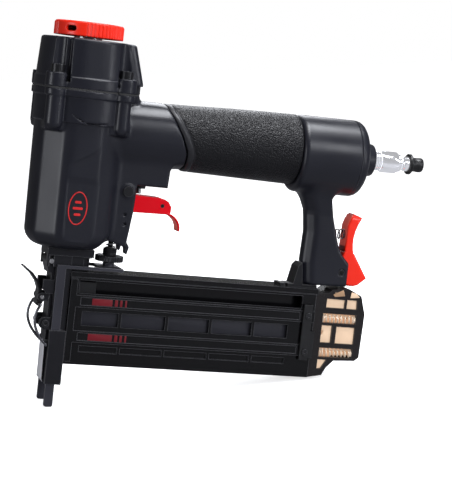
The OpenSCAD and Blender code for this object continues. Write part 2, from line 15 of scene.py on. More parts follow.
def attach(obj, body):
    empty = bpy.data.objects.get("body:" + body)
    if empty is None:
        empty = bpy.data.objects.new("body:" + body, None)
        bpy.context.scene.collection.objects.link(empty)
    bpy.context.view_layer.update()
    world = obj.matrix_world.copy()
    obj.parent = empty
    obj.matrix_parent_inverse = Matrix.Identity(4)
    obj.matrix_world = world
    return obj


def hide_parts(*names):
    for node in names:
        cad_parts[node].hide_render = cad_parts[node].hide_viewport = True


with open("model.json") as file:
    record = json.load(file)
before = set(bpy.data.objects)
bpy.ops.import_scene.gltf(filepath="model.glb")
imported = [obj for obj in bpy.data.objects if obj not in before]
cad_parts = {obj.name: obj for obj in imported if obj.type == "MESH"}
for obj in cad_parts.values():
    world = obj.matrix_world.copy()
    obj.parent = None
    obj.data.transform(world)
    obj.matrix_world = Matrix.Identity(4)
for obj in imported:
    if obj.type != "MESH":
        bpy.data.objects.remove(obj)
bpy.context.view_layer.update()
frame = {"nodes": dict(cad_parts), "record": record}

NODES, RECORD = frame["nodes"], frame["record"]

# ------------------------------------------------------------------ shared places, mm
HANDLE_Z = 179.8                 # axis of the handle
DRUM_Z = 177.8                   # axis of the drum, end cap and air plug
DRUM_RADIUS = 25.7
DRUM_FRONT = 145.8
SCREW_X, SCREW_Y = 22, 23        # head screws, at plus and minus both
SCREW_HOLE = 2.7
LOBE_X, LOBE_RADIUS = 16.9, 20   # rear lobe of the head flange
WHEEL_X = 28.6                   # axis of the depth wheel and safety spring
VALVE_X = 43.5                   # axis of the trigger valve
TRIGGER_PIN = (33, 142.9)        # x, z
RELEASE_PIN = (187.9, 100.8)
RELEASE_PIN_HOLE = 2.1
BAIL_PIVOT = (-15.7, 65.7)
BADGE_SINK = 2.3                 # depth of the badge panel under the barrel radius
SIDES = ((-1, "near"), (1, "far"))


# ------------------------------------------------------------------ materials
def set_inputs(node, values):
    """Sets inputs by name or index; a socket is linked, anything else is a value."""
    for key, value in values.items():
        if isinstance(value, bpy.types.NodeSocket):
            node.id_data.links.new(value, node.inputs[key])
        else:
            node.inputs[key].default_value = value


def add_node(tree, kind, values, **settings):
    node = tree.nodes.new("ShaderNode" + kind)
    for key, value in settings.items():
        setattr(node, key, value)
    set_inputs(node, values)
    return node


def painted_edge_highlight(tree, color, amount, edge_highlight_color):
    """Painted highlight: blends a lighter edge colour in where a rounded normal leaves the true
    one.
    """
    bevel = add_node(tree, "Bevel", {"Radius": 0.0006}, samples=4)
    geometry = add_node(tree, "NewGeometry", {})
    dot = add_node(tree, "VectorMath", {0: bevel.outputs["Normal"], 1: geometry.outputs["Normal"]},
                   operation="DOT_PRODUCT")
    mask = add_node(tree, "MapRange", {"From Min": 0.995, "From Max": 0.90, "To Max": amount,
                                       "Value": dot.outputs["Value"]})
    mix = add_node(tree, "Mix", {"Factor": mask.outputs["Result"], "A": color,
                                 "B": (*edge_highlight_color, 1)}, data_type="RGBA")
    return mix.outputs["Result"]


def grain_height(tree, coords, kind, scale, detail):
    """Height of the fine grain: plain noise, noise drawn out along Z, or warped pebbles."""
    if kind == "pebble":
        warp = add_node(tree, "TexNoise", {"Scale": scale * 0.45, "Detail": 3.0, "Vector": coords})
        warped = add_node(tree, "VectorMath",
                          {0: warp.outputs["Color"], 1: (0.0016,) * 3, 2: coords},
                          operation="MULTIPLY_ADD")
        cells = add_node(tree, "TexVoronoi", {"Smoothness": 0.5, "Scale": scale,
                                              "Vector": warped.outputs["Vector"]},
                         feature="SMOOTH_F1")
        return cells.outputs["Distance"]
    if kind == "brush":
        stretch = add_node(tree, "Mapping", {"Scale": (1.0, 1.0, 0.04), "Vector": coords})
        coords = stretch.outputs["Vector"]
    noise = add_node(tree, "TexNoise", {"Scale": scale, "Detail": detail, "Vector": coords})
    return noise.outputs["Fac"]


def material(name, color, rough, bump, scale, metal=0.0, detail=4.0, vary=0.12, rough_vary=0.12,
             kind="noise", depth=0.0002, bevel=0.0, edge_highlight=0.0, edge_highlight_color=(0.35, 0.35, 0.37),
             coat=0.0, spec=0.5, glow=0.0):
    """bump, scale, detail, kind and depth (m) shape the grain, vary and rough_vary are the
    mottling of colour and roughness, bevel is a shaded edge radius (m), the edge highlight
    amount and colour paint a lighter highlight onto edges, and glow stands in for light thrown or
    let through."""
    made = bpy.data.materials.new(name)
    made.use_nodes = True
    tree = made.node_tree
    shader = tree.nodes["Principled BSDF"]
    coords = add_node(tree, "TexCoord", {}).outputs["Object"]
    mottle = add_node(tree, "TexNoise", {"Scale": 38.0, "Detail": 5.0, "Vector": coords})
    roughness = add_node(tree, "MapRange", {
        "From Min": 0.3, "From Max": 0.7, "To Min": rough - rough_vary / 2,
        "To Max": rough + rough_vary / 2, "Value": mottle.outputs["Fac"]})
    tint = add_node(tree, "Mix", {
        "A": (*[v * (1 - vary) for v in color], 1),
        "B": (*[min(1, v * (1 + vary)) for v in color], 1),
        "Factor": mottle.outputs["Fac"]}, data_type="RGBA").outputs["Result"]
    # edges lightened with a painted highlight, where they would catch the light
    if edge_highlight > 0:
        tint = painted_edge_highlight(tree, tint, edge_highlight, edge_highlight_color)
    relief = add_node(tree, "Bump", {
        "Strength": bump, "Distance": depth,
        "Height": grain_height(tree, coords, kind, scale, detail)}, invert=kind == "pebble")
    if bevel > 0:
        soft = add_node(tree, "Bevel", {"Radius": bevel}, samples=4)
        set_inputs(relief, {"Normal": soft.outputs["Normal"]})
    set_inputs(shader, {
        "Base Color": tint, "Roughness": roughness.outputs["Result"], "Metallic": metal,
        "Coat Weight": coat, "Coat Roughness": 0.12, "Specular IOR Level": spec, "IOR": 1.45,
        "Normal": relief.outputs["Normal"]})
    if glow > 0:
        set_inputs(shader, {"Emission Color": tint, "Emission Strength": glow})
    return made


MATERIALS = {
    # lighter edges here are a painted highlight
    "body_black": material("casting_paint", color=(0.0115, 0.012, 0.0175), rough=0.33, bump=0.10,
                           scale=1500, detail=3, vary=0.15, rough_vary=0.08, edge_highlight=0.5,
                           edge_highlight_color=(0.16, 0.16, 0.18)),
    "gasket": material("gasket_fibre", color=(0.05, 0.05, 0.05), rough=0.8, bump=0.3, scale=900),
    "steel": material("zinc_steel", color=(0.60, 0.60, 0.61), rough=0.28, metal=1.0, bump=0.12,
                      scale=1200, bevel=0.0003, kind="brush"),
    "seal_black": material("seal_rubber", color=(0.02, 0.02, 0.02), rough=0.6, bump=0.1,
                           scale=700),
    "grip_rubber": material("grip_rubber", color=(0.008, 0.008, 0.0095), rough=0.40, bump=1.0,
                            scale=1000, kind="pebble", vary=0.2, depth=0.0005, spec=0.38),
    "grip_smooth": material("grip_rubber_plain", color=(0.018, 0.018, 0.021), rough=0.42,
                            bump=0.12, scale=1200),
    # glow paints bright reflections onto the plated plug
    "chrome": material("chrome_plate_painted_shine", color=(0.88, 0.89, 0.93), rough=0.13, metal=1.0,
                       bump=0.02, scale=500, vary=0.03, rough_vary=0.05, glow=0.40),
    "plastic_black": material("moulded_black", color=(0.012, 0.012, 0.013), rough=0.38,
                              bump=0.15, scale=1200, bevel=0.0003),
    # glow paints light onto the coils inside the clear rear cap
    "coil_painted_glow": material("coil_in_clear_cap_painted_glow", color=(0.80, 0.66, 0.52), rough=0.32, metal=0.55,
                          bump=0.05, scale=700, vary=0.05, glow=0.24),
    # a lighter red with glow: painted light on red faces turned to the light
    "red_painted_light": material("red_lit_face", color=(0.90, 0.13, 0.10), rough=0.45, bump=0.10,
                         scale=900, detail=3, vary=0.10, rough_vary=0.10, glow=0.22),
    "red_plastic": material("red_moulding", color=(0.93, 0.022, 0.006), rough=0.34, bump=0.12,
                            scale=1300, detail=3, vary=0.06, rough_vary=0.10, coat=0.15),
    "piston_alloy": material("turned_alloy", color=(0.75, 0.75, 0.77), rough=0.3, metal=1.0,
                             bump=0.1, scale=900, kind="brush"),
    "valve_plastic": material("acetal", color=(0.75, 0.75, 0.70), rough=0.45, bump=0.1,
                              scale=700),
    # lighter pink edges here are a painted highlight
    "trigger_red": material("trigger_coating", color=(0.80, 0.001, 0.010), rough=0.36, bump=0.05,
                            scale=1000, detail=3, vary=0.08, rough_vary=0.08, coat=0.1,
                            spec=0.2, edge_highlight=0.12, edge_highlight_color=(0.85, 0.25, 0.25)),
    # lighter edges here are a painted highlight
    "black_steel": material("black_oxide", color=(0.014, 0.014, 0.016), rough=0.33, metal=0.3,
                            bump=0.12, scale=1100, bevel=0.0003, edge_highlight=0.25),
    # lighter edges here are a painted highlight
    "nose_black": material("phosphate_black", color=(0.012, 0.012, 0.015), rough=0.34, metal=0.2,
                           bump=0.14, scale=900, bevel=0.0004, edge_highlight=0.30),
    "nose_grey": material("satin_steel", color=(0.40, 0.40, 0.45), rough=0.34, metal=0.9,
                          bump=0.10, scale=900, bevel=0.0004, kind="brush"),
    # lighter edges here are a painted highlight, bright lines along the ribs
    "magazine_black": material("anodised_black", color=(0.0035, 0.0035, 0.004), rough=0.16,
                               bump=0.04, scale=1600, detail=3, vary=0.2, rough_vary=0.06,
                               spec=0.4, edge_highlight=0.55, edge_highlight_color=(0.14, 0.14, 0.15)),
    # lighter edges here are a painted highlight
    "cap_frame_black": material("frame_moulding", color=(0.012, 0.010, 0.010), rough=0.24,
                                bump=0.06, scale=900, edge_highlight=0.12),
    # glow paints the light let through the amber plastic
    "amber_clear": material("smoky_amber", color=(0.80, 0.58, 0.40), rough=0.16, bump=0.25,
                            scale=500, vary=0.22, coat=0.2, glow=0.22),
    "mark_red": material("mark_red", color=(0.62, 0.02, 0.02), rough=0.4, bump=0.05, scale=900),
    "mark_dim": material("mark_dim_red", color=(0.16, 0.006, 0.012), rough=0.32, bump=0.05,
                         scale=900, coat=0.3),
    "wire_black": material("wire_black", color=(0.22, 0.22, 0.24), rough=0.2, metal=0.95,
                           bump=0.05, scale=900),
    "face_grey": material("ground_face", color=(0.90, 0.90, 0.98), rough=0.38, metal=0.1,
                          bump=0.10, scale=900, bevel=0.0003, kind="brush"),
    # glow paints the light let through the amber plastic
    "amber_dim": material("smoky_amber_thick", color=(0.42, 0.26, 0.15), rough=0.2, bump=0.1,
                          scale=500, vary=0.25, coat=0.3, glow=0.10),
    "plate_grey": material("inner_plate", color=(0.022, 0.022, 0.028), rough=0.32, bump=0.06,
                           scale=1200, detail=3, vary=0.2, rough_vary=0.08),
    # lighter edges here are a painted highlight
    "foot_dark": material("foot_phosphate", color=(0.040, 0.040, 0.050), rough=0.34, metal=0.2,
                          bump=0.14, scale=900, bevel=0.0004, edge_highlight=0.35),
    # near-black: painted shade for holes
    "painted_hole_shadow": material("painted_recess_shadow", color=(0.003, 0.003, 0.003), rough=0.8, bump=0.05,
                          scale=900),
}

cad_look = {part["node"]: part["material_slot"] for part in RECORD["subparts"]}
cad_look.update(head_screws="black_steel", cover_screws="black_steel",
                nose_screws="black_steel", front_door="nose_black", contact_foot="foot_dark")
for node_name, cad_piece in NODES.items():
    cad_piece.data.materials.clear()
    cad_piece.data.materials.append(MATERIALS[cad_look[node_name]])


# ------------------------------------------------------------------ mesh helpers
def auto_smooth(piece, angle):
    """Sharp edges above an angle in degrees, smooth elsewhere, so flat faces stay flat."""
    bm = bmesh.new()
    bm.from_mesh(piece.data)
    limit = math.radians(angle)
    for edge in bm.edges:
        edge.smooth = len(edge.link_faces) == 2 and edge.calc_face_angle(0) < limit
    bm.to_mesh(piece.data)
    bm.free()
    for face in piece.data.polygons:
        face.use_smooth = True


def fix_normals(piece):
    bm = bmesh.new()
    bm.from_mesh(piece.data)
    bmesh.ops.recalc_face_normals(bm, faces=bm.faces)
    bm.to_mesh(piece.data)
    bm.free()


def soften_edges(piece, width):
    bevel = piece.modifiers.new("soft_edges", "BEVEL")
    bevel.width = width
    bevel.segments = 2
    bevel.limit_method = "ANGLE"
    bevel.angle_limit = math.radians(32)
    bevel.harden_normals = False
    bevel.use_clamp_overlap = True
    piece.modifiers.new("weights", "WEIGHTED_NORMAL").keep_sharp = False


def place_mesh(name, mesh, look, body, slot=None, replaces=None):
    """Puts a mesh in the scene under its body and hides the CAD piece it replaces; slot is not
    used.
    """
    piece = bpy.data.objects.new(name, mesh)
    bpy.context.scene.collection.objects.link(piece)
    mesh.materials.append(MATERIALS[look])
    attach(piece, body)
    slot = slot or look
    if replaces:
        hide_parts(replaces)
    return piece


def metres(points):
    return [tuple(v / 1000 for v in point) for point in points]


def ring_faces(rings, size, closed=True):
    """Quads between equal rings of vertices; closed joins the last ring to the first."""
    faces = []
    for i in range(rings if closed else rings - 1):
        a, b = i * size, (i + 1) % rings * size
        for k in range(size):
            following = (k + 1) % size
            faces.append((a + k, a + following, b + following, b + k))
    return faces


def new_object(name, verts, faces, look, body, slot=None, smooth=True, replaces=None):
    """A piece from vertices in metres."""
    mesh = bpy.data.meshes.new(name)
    mesh.from_pydata(verts, [], faces)
    mesh.validate()
    for face in mesh.polygons:
        face.use_smooth = smooth
    piece = place_mesh(name, mesh, look, body, slot, replaces)
    fix_normals(piece)
    return piece


# ------------------------------------------------------------------ distance fields, mm
# Each gives the distance to a surface, negative inside. The last number of a smooth
# operation is its blend width; rnd is an edge radius. Outlines are lists of (x, z).
def smin(a, b, k):
    h = np.clip(0.5 + 0.5 * (b - a) / k, 0, 1)
    return b * (1 - h) + a * h - k * h * (1 - h)


def smax(a, b, k):
    return -smin(-a, -b, k)


def cut(field, tool, blend=0):
    """Takes the tool shape out of the field, with a crisp edge if blend is 0."""
    return smax(field, -tool, blend) if blend else np.maximum(field, -tool)


def dist(u, v):
    return np.sqrt(u * u + v * v)


def ramp(run, length):
    """Rises from 0 to 1 as run goes from 0 to length."""
    return np.clip(run / length, 0, 1)


def round_corner(a, b, rnd):
    """Where two fields overlap, their common edge rounded outwards."""
    a, b = a + rnd, b + rnd
    return np.minimum(np.maximum(a, b), 0) + dist(np.maximum(a, 0), np.maximum(b, 0)) - rnd


def cylinder(u, v, w, radius, w0, w1, rnd):
    """Capped cylinder: u and v across, w along."""
    return round_corner(dist(u, v) - radius, np.abs(w - (w0 + w1) / 2) - (w1 - w0) / 2, rnd)


def box(x, y, z, low, high, rnd):
    qx, qy, qz = [np.abs(p - (a + b) / 2) - ((b - a) / 2 - rnd)
                  for p, a, b in zip((x, y, z), low, high)]
    outside = np.sqrt(np.maximum(qx, 0) ** 2 + np.maximum(qy, 0) ** 2 + np.maximum(qz, 0) ** 2)
    return outside + np.minimum(np.maximum(qx, np.maximum(qy, qz)), 0) - rnd


def polygon(x, z, outline):
    """Signed distance to an outline, endless along Y."""
    points = np.array(outline, float)
    squared = np.full(np.broadcast(x, z).shape, 1e18)
    sign = np.ones(squared.shape)
    for i in range(len(points)):
        a, b = points[i], points[i - 1]
        ex, ez = b[0] - a[0], b[1] - a[1]
        wx, wz = x - a[0], z - a[1]
        t = np.clip((wx * ex + wz * ez) / (ex * ex + ez * ez), 0, 1)
        squared = np.minimum(squared, (wx - ex * t) ** 2 + (wz - ez * t) ** 2)
        above, below, left = z >= a[1], z < b[1], ex * wz > ez * wx
        crossed = (above & below & left) | (~above & ~below & ~left)
        sign = np.where(crossed, -sign, sign)
    return sign * np.sqrt(squared)


def extrude(flat, y, half, rnd):
    """Gives a flat field a half thickness along Y, with rounded rims."""
    return round_corner(flat, np.abs(y) - half, rnd)


def surface_nets(field, low, high, step):
    """A closed quad mesh of field = 0, with its points moved onto the surface."""
    count = [int(math.ceil((b - a) / step)) + 1 for a, b in zip(low, high)]
    grid = np.ix_(*[low[i] + step * np.arange(count[i]) for i in range(3)])
    values = np.broadcast_to(field(*grid), count).astype(np.float32)
    inside = values < 0
    corners = sum(inside[i:count[0] - 1 + i, j:count[1] - 1 + j, k:count[2] - 1 + k].astype(np.int8)
                  for i in (0, 1) for j in (0, 1) for k in (0, 1))
    active = (corners > 0) & (corners < 8)
    cells = np.argwhere(active)
    index = -np.ones(active.shape, np.int64)
    index[active] = np.arange(len(cells))

    # one point per cell: the mean of the places where the surface crosses its edges
    total = np.zeros((len(cells), 3))
    crossings = np.zeros(len(cells))
    for axis in range(3):
        across = [a for a in range(3) if a != axis]
        for u in (0, 1):
            for v in (0, 1):
                start = [0, 0, 0]
                start[across[0]], start[across[1]] = u, v
                end = list(start)
                end[axis] = 1
                a = values[tuple((cells + start).T)]
                b = values[tuple((cells + end).T)]
                crossed = (a < 0) != (b < 0)
                place = np.zeros((len(cells), 3))
                place[:] = start
                place[:, axis] = np.where(crossed, a / np.where(crossed, a - b, 1), 0)
                total += place * crossed[:, None]
                crossings += crossed
    points = (cells + total / crossings[:, None]) * step + np.array(low)

    # one quad per crossed grid edge, joining the four cells round it
    quads = []
    for axis in range(3):
        across = [a for a in range(3) if a != axis]
        first, second = [slice(1, -1)] * 3, [slice(1, -1)] * 3
        first[axis], second[axis] = slice(0, -1), slice(1, None)
        A, B = inside[tuple(first)], inside[tuple(second)]
        for crossed, flip in ((A & ~B, False), (~A & B, True)):
            base = np.argwhere(crossed)
            base[:, across] += 1
            quad = []
            for du, dv in ((-1, -1), (0, -1), (0, 0), (-1, 0)):
                cell = base.copy()
                cell[:, across[0]] += du
                cell[:, across[1]] += dv
                quad.append(index[tuple(cell.T)])
            quad = np.stack(quad, 1)
            if (axis == 1) != flip:
                quad = quad[:, ::-1]
            quads.append(quad)

    probe = 0.05
    for _ in range(3):
        d = field(*points.T)
        slope = np.stack([field(*(points + e).T) - field(*(points - e).T)
                          for e in probe * np.eye(3)], 1) / (2 * probe)
        steepness = np.maximum((slope * slope).sum(1), 0.2)
        move = np.clip(d / steepness, -step * 0.5, step * 0.5)
        points = points - slope * move[:, None] * 0.9
    return points, np.concatenate(quads)


def field_piece(name, field, low, high, step, look, body, replaces):
    """Meshes a distance field inside the box low to high."""
    points, quads = surface_nets(field, low, high, step)
    mesh = bpy.data.meshes.new(name)
    mesh.vertices.add(len(points))
    mesh.vertices.foreach_set("co", (points / 1000.0).astype(np.float32).ravel())
    mesh.loops.add(len(quads) * 4)
    mesh.loops.foreach_set("vertex_index", quads.astype(np.int32).ravel())
    mesh.polygons.add(len(quads))
    mesh.polygons.foreach_set("loop_start", np.arange(len(quads), dtype=np.int32) * 4)
    mesh.polygons.foreach_set("loop_total", np.full(len(quads), 4, np.int32))
    mesh.polygons.foreach_set("use_smooth", np.ones(len(quads), bool))
    mesh.update()
    mesh.validate()
    place_mesh(name, mesh, look, body, replaces=replaces)


# ------------------------------------------------------------------ main casting
# outlines, (x, z)
LEG = [(155, 158), (155.4, 149.4), (158.6, 140.9), (160.4, 126.4), (159.8, 105.9), (161.6, 90.7),
       (195.5, 91.2), (197.9, 92), (199.6, 94.9), (200, 102), (198, 104.2), (192.6, 107),
       (186.9, 112.8), (183.6, 118.8), (180.6, 128), (177, 140), (174.5, 149.5), (176, 160),
       (165, 165)]
LEG_SLOT = [(180.6, 80), (180.6, 118), (179, 128), (172, 150), (210, 150), (210, 80)]
CHEEK = [(12, 110.6), (23.3, 110.4), (34.8, 106.6), (35.4, 102.8), (36.6, 102), (38, 107),
         (35.9, 110), (38.2, 130), (38.8, 142), (38.8, 157), (12, 157)]
VALVE_BLOCK = [(12, 147.2), (59.4, 147.0), (59.9, 158), (61.5, 162.5), (66, 166), (60, 175),
               (12, 182)]
NECK = [(10, 152), (10, 199.2), (48, 199.8), (54, 199.2), (64.6, 181), (68.3, 170),
        (68.9, 163), (63, 159.2), (34, 158)]
# slanted rear limits of the tube round the handle root and of the whole neck
TUBE_LIMIT = [(20, 150), (20, 210), (52.2, 204), (56.7, 193.3), (63.2, 181.4), (67.8, 170.6),
              (68.6, 155)]
NECK_LIMIT = [(-5, 100), (-5, 210), (51.0, 206), (56.9, 193.3), (63.4, 181.4), (68.0, 170.6),
              (68.8, 158), (60, 140)]
BADGE_PANEL = [(-9.6, 157), (-1, 162), (6.4, 166), (12.6, 172.5), (11.0, 109.5), (-8.6, 109.5)]
# front edge of the leg: z, and x at that z
LEG_FRONT_Z = [90.6, 105.9, 126.4, 140.9, 149.4]
LEG_FRONT_X = [161.6, 159.8, 160.4, 158.6, 155.4]
COLLAR_TOP = 203.75


def barrel_radius(z):
    return 28.55 + (z - 112) * (0.4 / 70)


def screw_dist(x, y, end):
    """Distance from the screw axes at the front (end -1) or rear (end 1)."""
    return dist(x - end * SCREW_X, np.abs(y) - SCREW_Y)


def barrel_field(x, y, z):
    R, r, ay = barrel_radius(z), dist(x, y), np.abs(y)
    below_collar = ramp(181.5 - z, 1.2)
    # flat sides, front facets, rear facets
    d = smax(r - R, ay - (R - 0.9), 1.0)
    d = smax(d, (-x * 0.707 + ay * 0.707) - (R - 0.1 - 0.95 * below_collar), 0.35)
    d = smax(d, (x * 0.5 + ay * 0.866) - (R - 0.55), 0.5)
    # rounded bottom, its rear corner cut off at a slant
    d = round_corner(d, 103.1 - z, 11)
    d = smax(d, (8 * (x - 18.5) - 7 * (z - 106)) / 10.63, 4)
    # recessed badge panel on each side
    panel_depth = R - BADGE_SINK + 0.8 * ramp(z - 146, 4)
    d = cut(d, smax(polygon(x, z, BADGE_PANEL), -(ay - panel_depth), 0.6), 0.8)
    # screw bosses with rounded lower ends, each on a short block
    for end, boss_radius in ((-1, 5.9), (1, 5.0)):
        swell = np.clip((z - 177.5) / 5.0, 0.0, 1.0)
        swell = boss_radius * np.sqrt(np.maximum(1 - (1 - swell) ** 2, 0.0))
        boss = np.maximum(dist(x - end * 21.7, ay - 23.6) - swell, 177.5 - z)
        block = smax(np.maximum(np.abs(x - end * 20.6) - 6.3, ay - 25.2),
                     np.abs(z - 181.0) - 3.6, 2.4)
        d = smin(d, smin(boss, block, 0.8), 0.8)
    # collar under the cap, in two low steps
    d = smin(d, smax(r - 30.5, 183.2 - z, 0.6), 0.5)
    flange = np.minimum(r - 31.55, dist(x - LOBE_X, y) - LOBE_RADIUS)
    for end in (-1, 1):
        flange = smin(flange, screw_dist(x, y, end) - 6.8, 0.6)
    d = smin(d, smax(flange, 199.4 - z, 0.4), 0.4)
    d = smax(d, z - COLLAR_TOP, 0.3)
    # thin seam on the flat sides, rising at the front
    seam = np.abs(z - (184.2 + 4.5 * ramp(-2 - x, 9) ** 1.5)) - 0.28
    return cut(d, np.maximum(np.maximum(seam, np.abs(x - 3) - 14), (R - 1.9) - ay), 0.2)


def neck_field(x, y, z):
    """Neck from the barrel to the handle, with the cheeks and valve block below."""
    ay = np.abs(y)
    half_width = 20.2 - ramp(176 - z, 20) * 5.2
    neck = smax(polygon(x, z, NECK), ay - half_width, 3.5)
    from_axis = dist(y, z - (HANDLE_Z + 0.3))
    tube_end = smax(from_axis - 20.9, np.abs(x - 42) - 30, 1.0)
    tube_end = smax(tube_end, polygon(x, z, TUBE_LIMIT), 0.6)
    neck = smin(smax(neck, from_axis - 21.6, 2.5), tube_end, 2.0)
    neck = smax(neck, polygon(x, z, NECK_LIMIT), 0.6)
    cheeks = extrude(polygon(x, z, CHEEK), y, 14, 1.3)
    block = extrude(polygon(x, z, VALVE_BLOCK), y, 14, 1.6)
    return smin(neck, np.minimum(block, cheeks), 3.0)


def handle_field(x, y, z):
    """Handle core, the drum at its rear end and the leg down from the drum."""
    core = cylinder(y, z - HANDLE_Z, x, 17.9, 40, 150, 0.5)
    drum = cylinder(y, z - DRUM_Z, x, DRUM_RADIUS, DRUM_FRONT, 186.8, 0.5)
    front_edge = round_corner(dist(y, z - DRUM_Z) - DRUM_RADIUS, DRUM_FRONT - x, 3.5)
    drum = np.maximum(drum, front_edge)
    leg_front = np.interp(z, LEG_FRONT_Z, LEG_FRONT_X)
    widening = ramp(z - 138, 20) * 4
    leg = extrude(polygon(x, z, LEG), y, 9.0 + widening, 1.6)
    chamfer = (-5 * (x - leg_front) + 5.5 * (np.abs(y) - 3 - widening)) / 7.43
    leg = smax(leg, chamfer, 1.9)
    return smin(smin(drum, leg, 6.0), core, 0.5)


def cut_hollows(d, x, y, z):
    ay = np.abs(y)
    # barrel bores
    d = cut(d, cylinder(x, y, z, 22.6, 108, 150, 0.3))
    d = cut(d, cylinder(x, y, z, 26.0, 149.5, 212, 0.3))
    d = cut(d, np.maximum(dist(x, y) - 9.0, z - 112))
    # handle and drum bores
    d = cut(d, cylinder(y, z - HANDLE_Z, x, 14.5, 20, 152, 0.3))
    d = cut(d, cylinder(y, z - DRUM_Z, x, 22.5, 150, 200, 0.3))
    # trigger valve bore, and the slots between the cheeks
    d = cut(d, cylinder(x - VALVE_X, y, z, 7.05, 140, 170, 0.2))
    d = cut(d, box(x, y, z, (25.4, -7, 116), (46, 7, 147.0), 0.4), 0.3)
    d = cut(d, box(x, y, z, (24.9, -7, 90), (46, 7, 111), 0.4), 0.3)
    # stepped bore over the depth wheel: radius, lower end, upper end
    for radius, lower, upper in ((9.6, 90, 106.5), (4.9, 90, 111.2), (3.9, 110, 115)):
        d = cut(d, cylinder(x - WHEEL_X, y, z, radius, lower, upper, 0.1))
    d = cut(d, np.maximum(dist(x - WHEEL_X, y) - 1.8, np.abs(z - 113) - 8))
    # slot down the rear of the leg
    d = cut(d, extrude(polygon(x, z, LEG_SLOT), y, 6.5, 0.1), 0.4)
    # two small blind holes in each cheek
    for hole_x, hole_z in ((32.4, 127.8), (33.0, 121.7)):
        d = cut(d, np.maximum(dist(x - hole_x, z - hole_z) - 0.95, 12.4 - ay), 0.2)
    d = cut(d, dist(x - RELEASE_PIN[0], z - RELEASE_PIN[1]) - RELEASE_PIN_HOLE)
    for end in (-1, 1):
        d = cut(d, np.maximum(screw_dist(x, y, end) - SCREW_HOLE, 186 - z))
    return d


def casting_field(x, y, z):
    d = smin(barrel_field(x, y, z), neck_field(x, y, z), 3.2)
    # bosses round the trigger pin
    d = smin(d, cylinder(x - TRIGGER_PIN[0], z - TRIGGER_PIN[1], y, 4.7, -14.5, 14.5, 0.5), 0.8)
    d = np.minimum(d, handle_field(x, y, z))
    return cut_hollows(d, x, y, z)


field_piece("casting", casting_field, low=(-37, -34.5, 88), high=(192, 34.5, 205.5), step=0.75,
            look="body_black", body="frame", replaces="main_body")

# ------------------------------------------------------------------ head cap
CAP_TOP = 236
CAP_FLANGE_TOP = 211.5


def cap_field(x, y, z):
    ay, r = np.abs(y), dist(x, y)
    taper = np.clip((z - CAP_FLANGE_TOP) / 24.5, 0, 1.1)
    # tapered round core with flat sides, and a squarer block to the rear
    core = smax(r - (30.8 - 1.3 * taper), ay - (29.9 - 1.1 * taper), 0.8)
    rear = smax(np.maximum(x - (34.6 - 6.0 * taper), 2 - x), ay - (20.5 - 3.5 * taper), 3.5)
    d = smin(core, rear, 1.2)
    d = smax(d, z - CAP_TOP, 2.0)
    d = smax(d, 210 - z, 0.2)
    # flange, and a pad round each screw
    flange = smin(r - 31.7, dist(x - LOBE_X, y) - LOBE_RADIUS, 0.5)
    for end in (-1, 1):
        flange = smin(flange, screw_dist(x, y, end) - 7.0, 0.6)
    d = smin(d, smax(flange, z - CAP_FLANGE_TOP, 0.7), 0.35)
    for end in (-1, 1):
        d = smin(d, smax(screw_dist(x, y, end) - 7.0, z - 213.6, 0.5), 0.4)
    # screw channels, open to the sides, deeper next to the core
    for end, inner in ((-1, 14.5), (1, 16.4)):
        out = x * end
        opening = np.maximum(np.maximum(inner - out, out - 27.0), 21.3 - ay)
        channel = np.minimum(screw_dist(x, y, end) - 5.0, opening)
        floor_z = np.where(out < 17.6, 208.0, 213.6)
        d = cut(d, np.maximum(channel, floor_z - z), 0.35)
    d = np.maximum(d, 204.85 - z)
    # hollow, centre hole, ring of six vents, screw holes
    d = cut(d, cylinder(x, y, z, 23.6, 190, 228, 0.3))
    d = cut(d, r - 2.7)
    for k in range(6):
        a = k * math.pi / 3
        vent = dist(x - 13 * math.cos(a), y - 13 * math.sin(a)) - 3.2
        d = cut(d, np.maximum(vent, 222 - z), 0.3)
    for end in (-1, 1):
        d = cut(d, screw_dist(x, y, end) - SCREW_HOLE)
    return d


field_piece("head_cap_shell", cap_field, low=(-38, -34, 203.5), high=(39, 34, 237.5), step=0.6,
            look="body_black", body="frame", replaces="head_cap")

PORT_ANGLE, PLAIN_HALF_ANGLE = -133, 27   # exhaust port and the unribbed rim round it, degrees


def exhaust_field(x, y, z):
    r = dist(x, y)
    angle = np.degrees(np.arctan2(y, x))
    ribs = np.cos(np.radians(angle * 56)) * 0.34
    plain = (angle < PORT_ANGLE + PLAIN_HALF_ANGLE) & (angle > PORT_ANGLE - PLAIN_HALF_ANGLE)
    rim = 21.9 + np.where(plain, 0.15, ribs) * ramp(245.9 - z, 0.5)
    d = smax(r - rim, z - 246.7, 1.6)
    d = smax(d, 237.5 - z, 0.4)
    # hollow, centre hole, its counterbore, ring groove in the top
    d = cut(d, np.maximum(r - 19.6, z - 243.6), 0.3)
    d = cut(d, r - 3.1)
    d = cut(d, np.maximum(r - 7.2, 244.8 - z), 0.4)
    d = cut(d, np.maximum(np.abs(r - 14.5) - 3.6, 246.2 - z), 0.3)
    # exhaust port: a level slot with round ends
    a = math.radians(PORT_ANGLE)
    out = x * math.cos(a) + y * math.sin(a)
    along = -x * math.sin(a) + y * math.cos(a)
    port = dist(np.maximum(np.abs(along) - 2.0, 0), z - 241.8) - 1.7
    return cut(d, np.maximum(port, 10 - out), 0.3)


field_piece("exhaust_deflector_cap", exhaust_field, low=(-24, -24, 236.5), high=(24, 24, 247.6),
            step=0.42, look="red_plastic", body="exhaust_deflector", replaces="exhaust_cap")


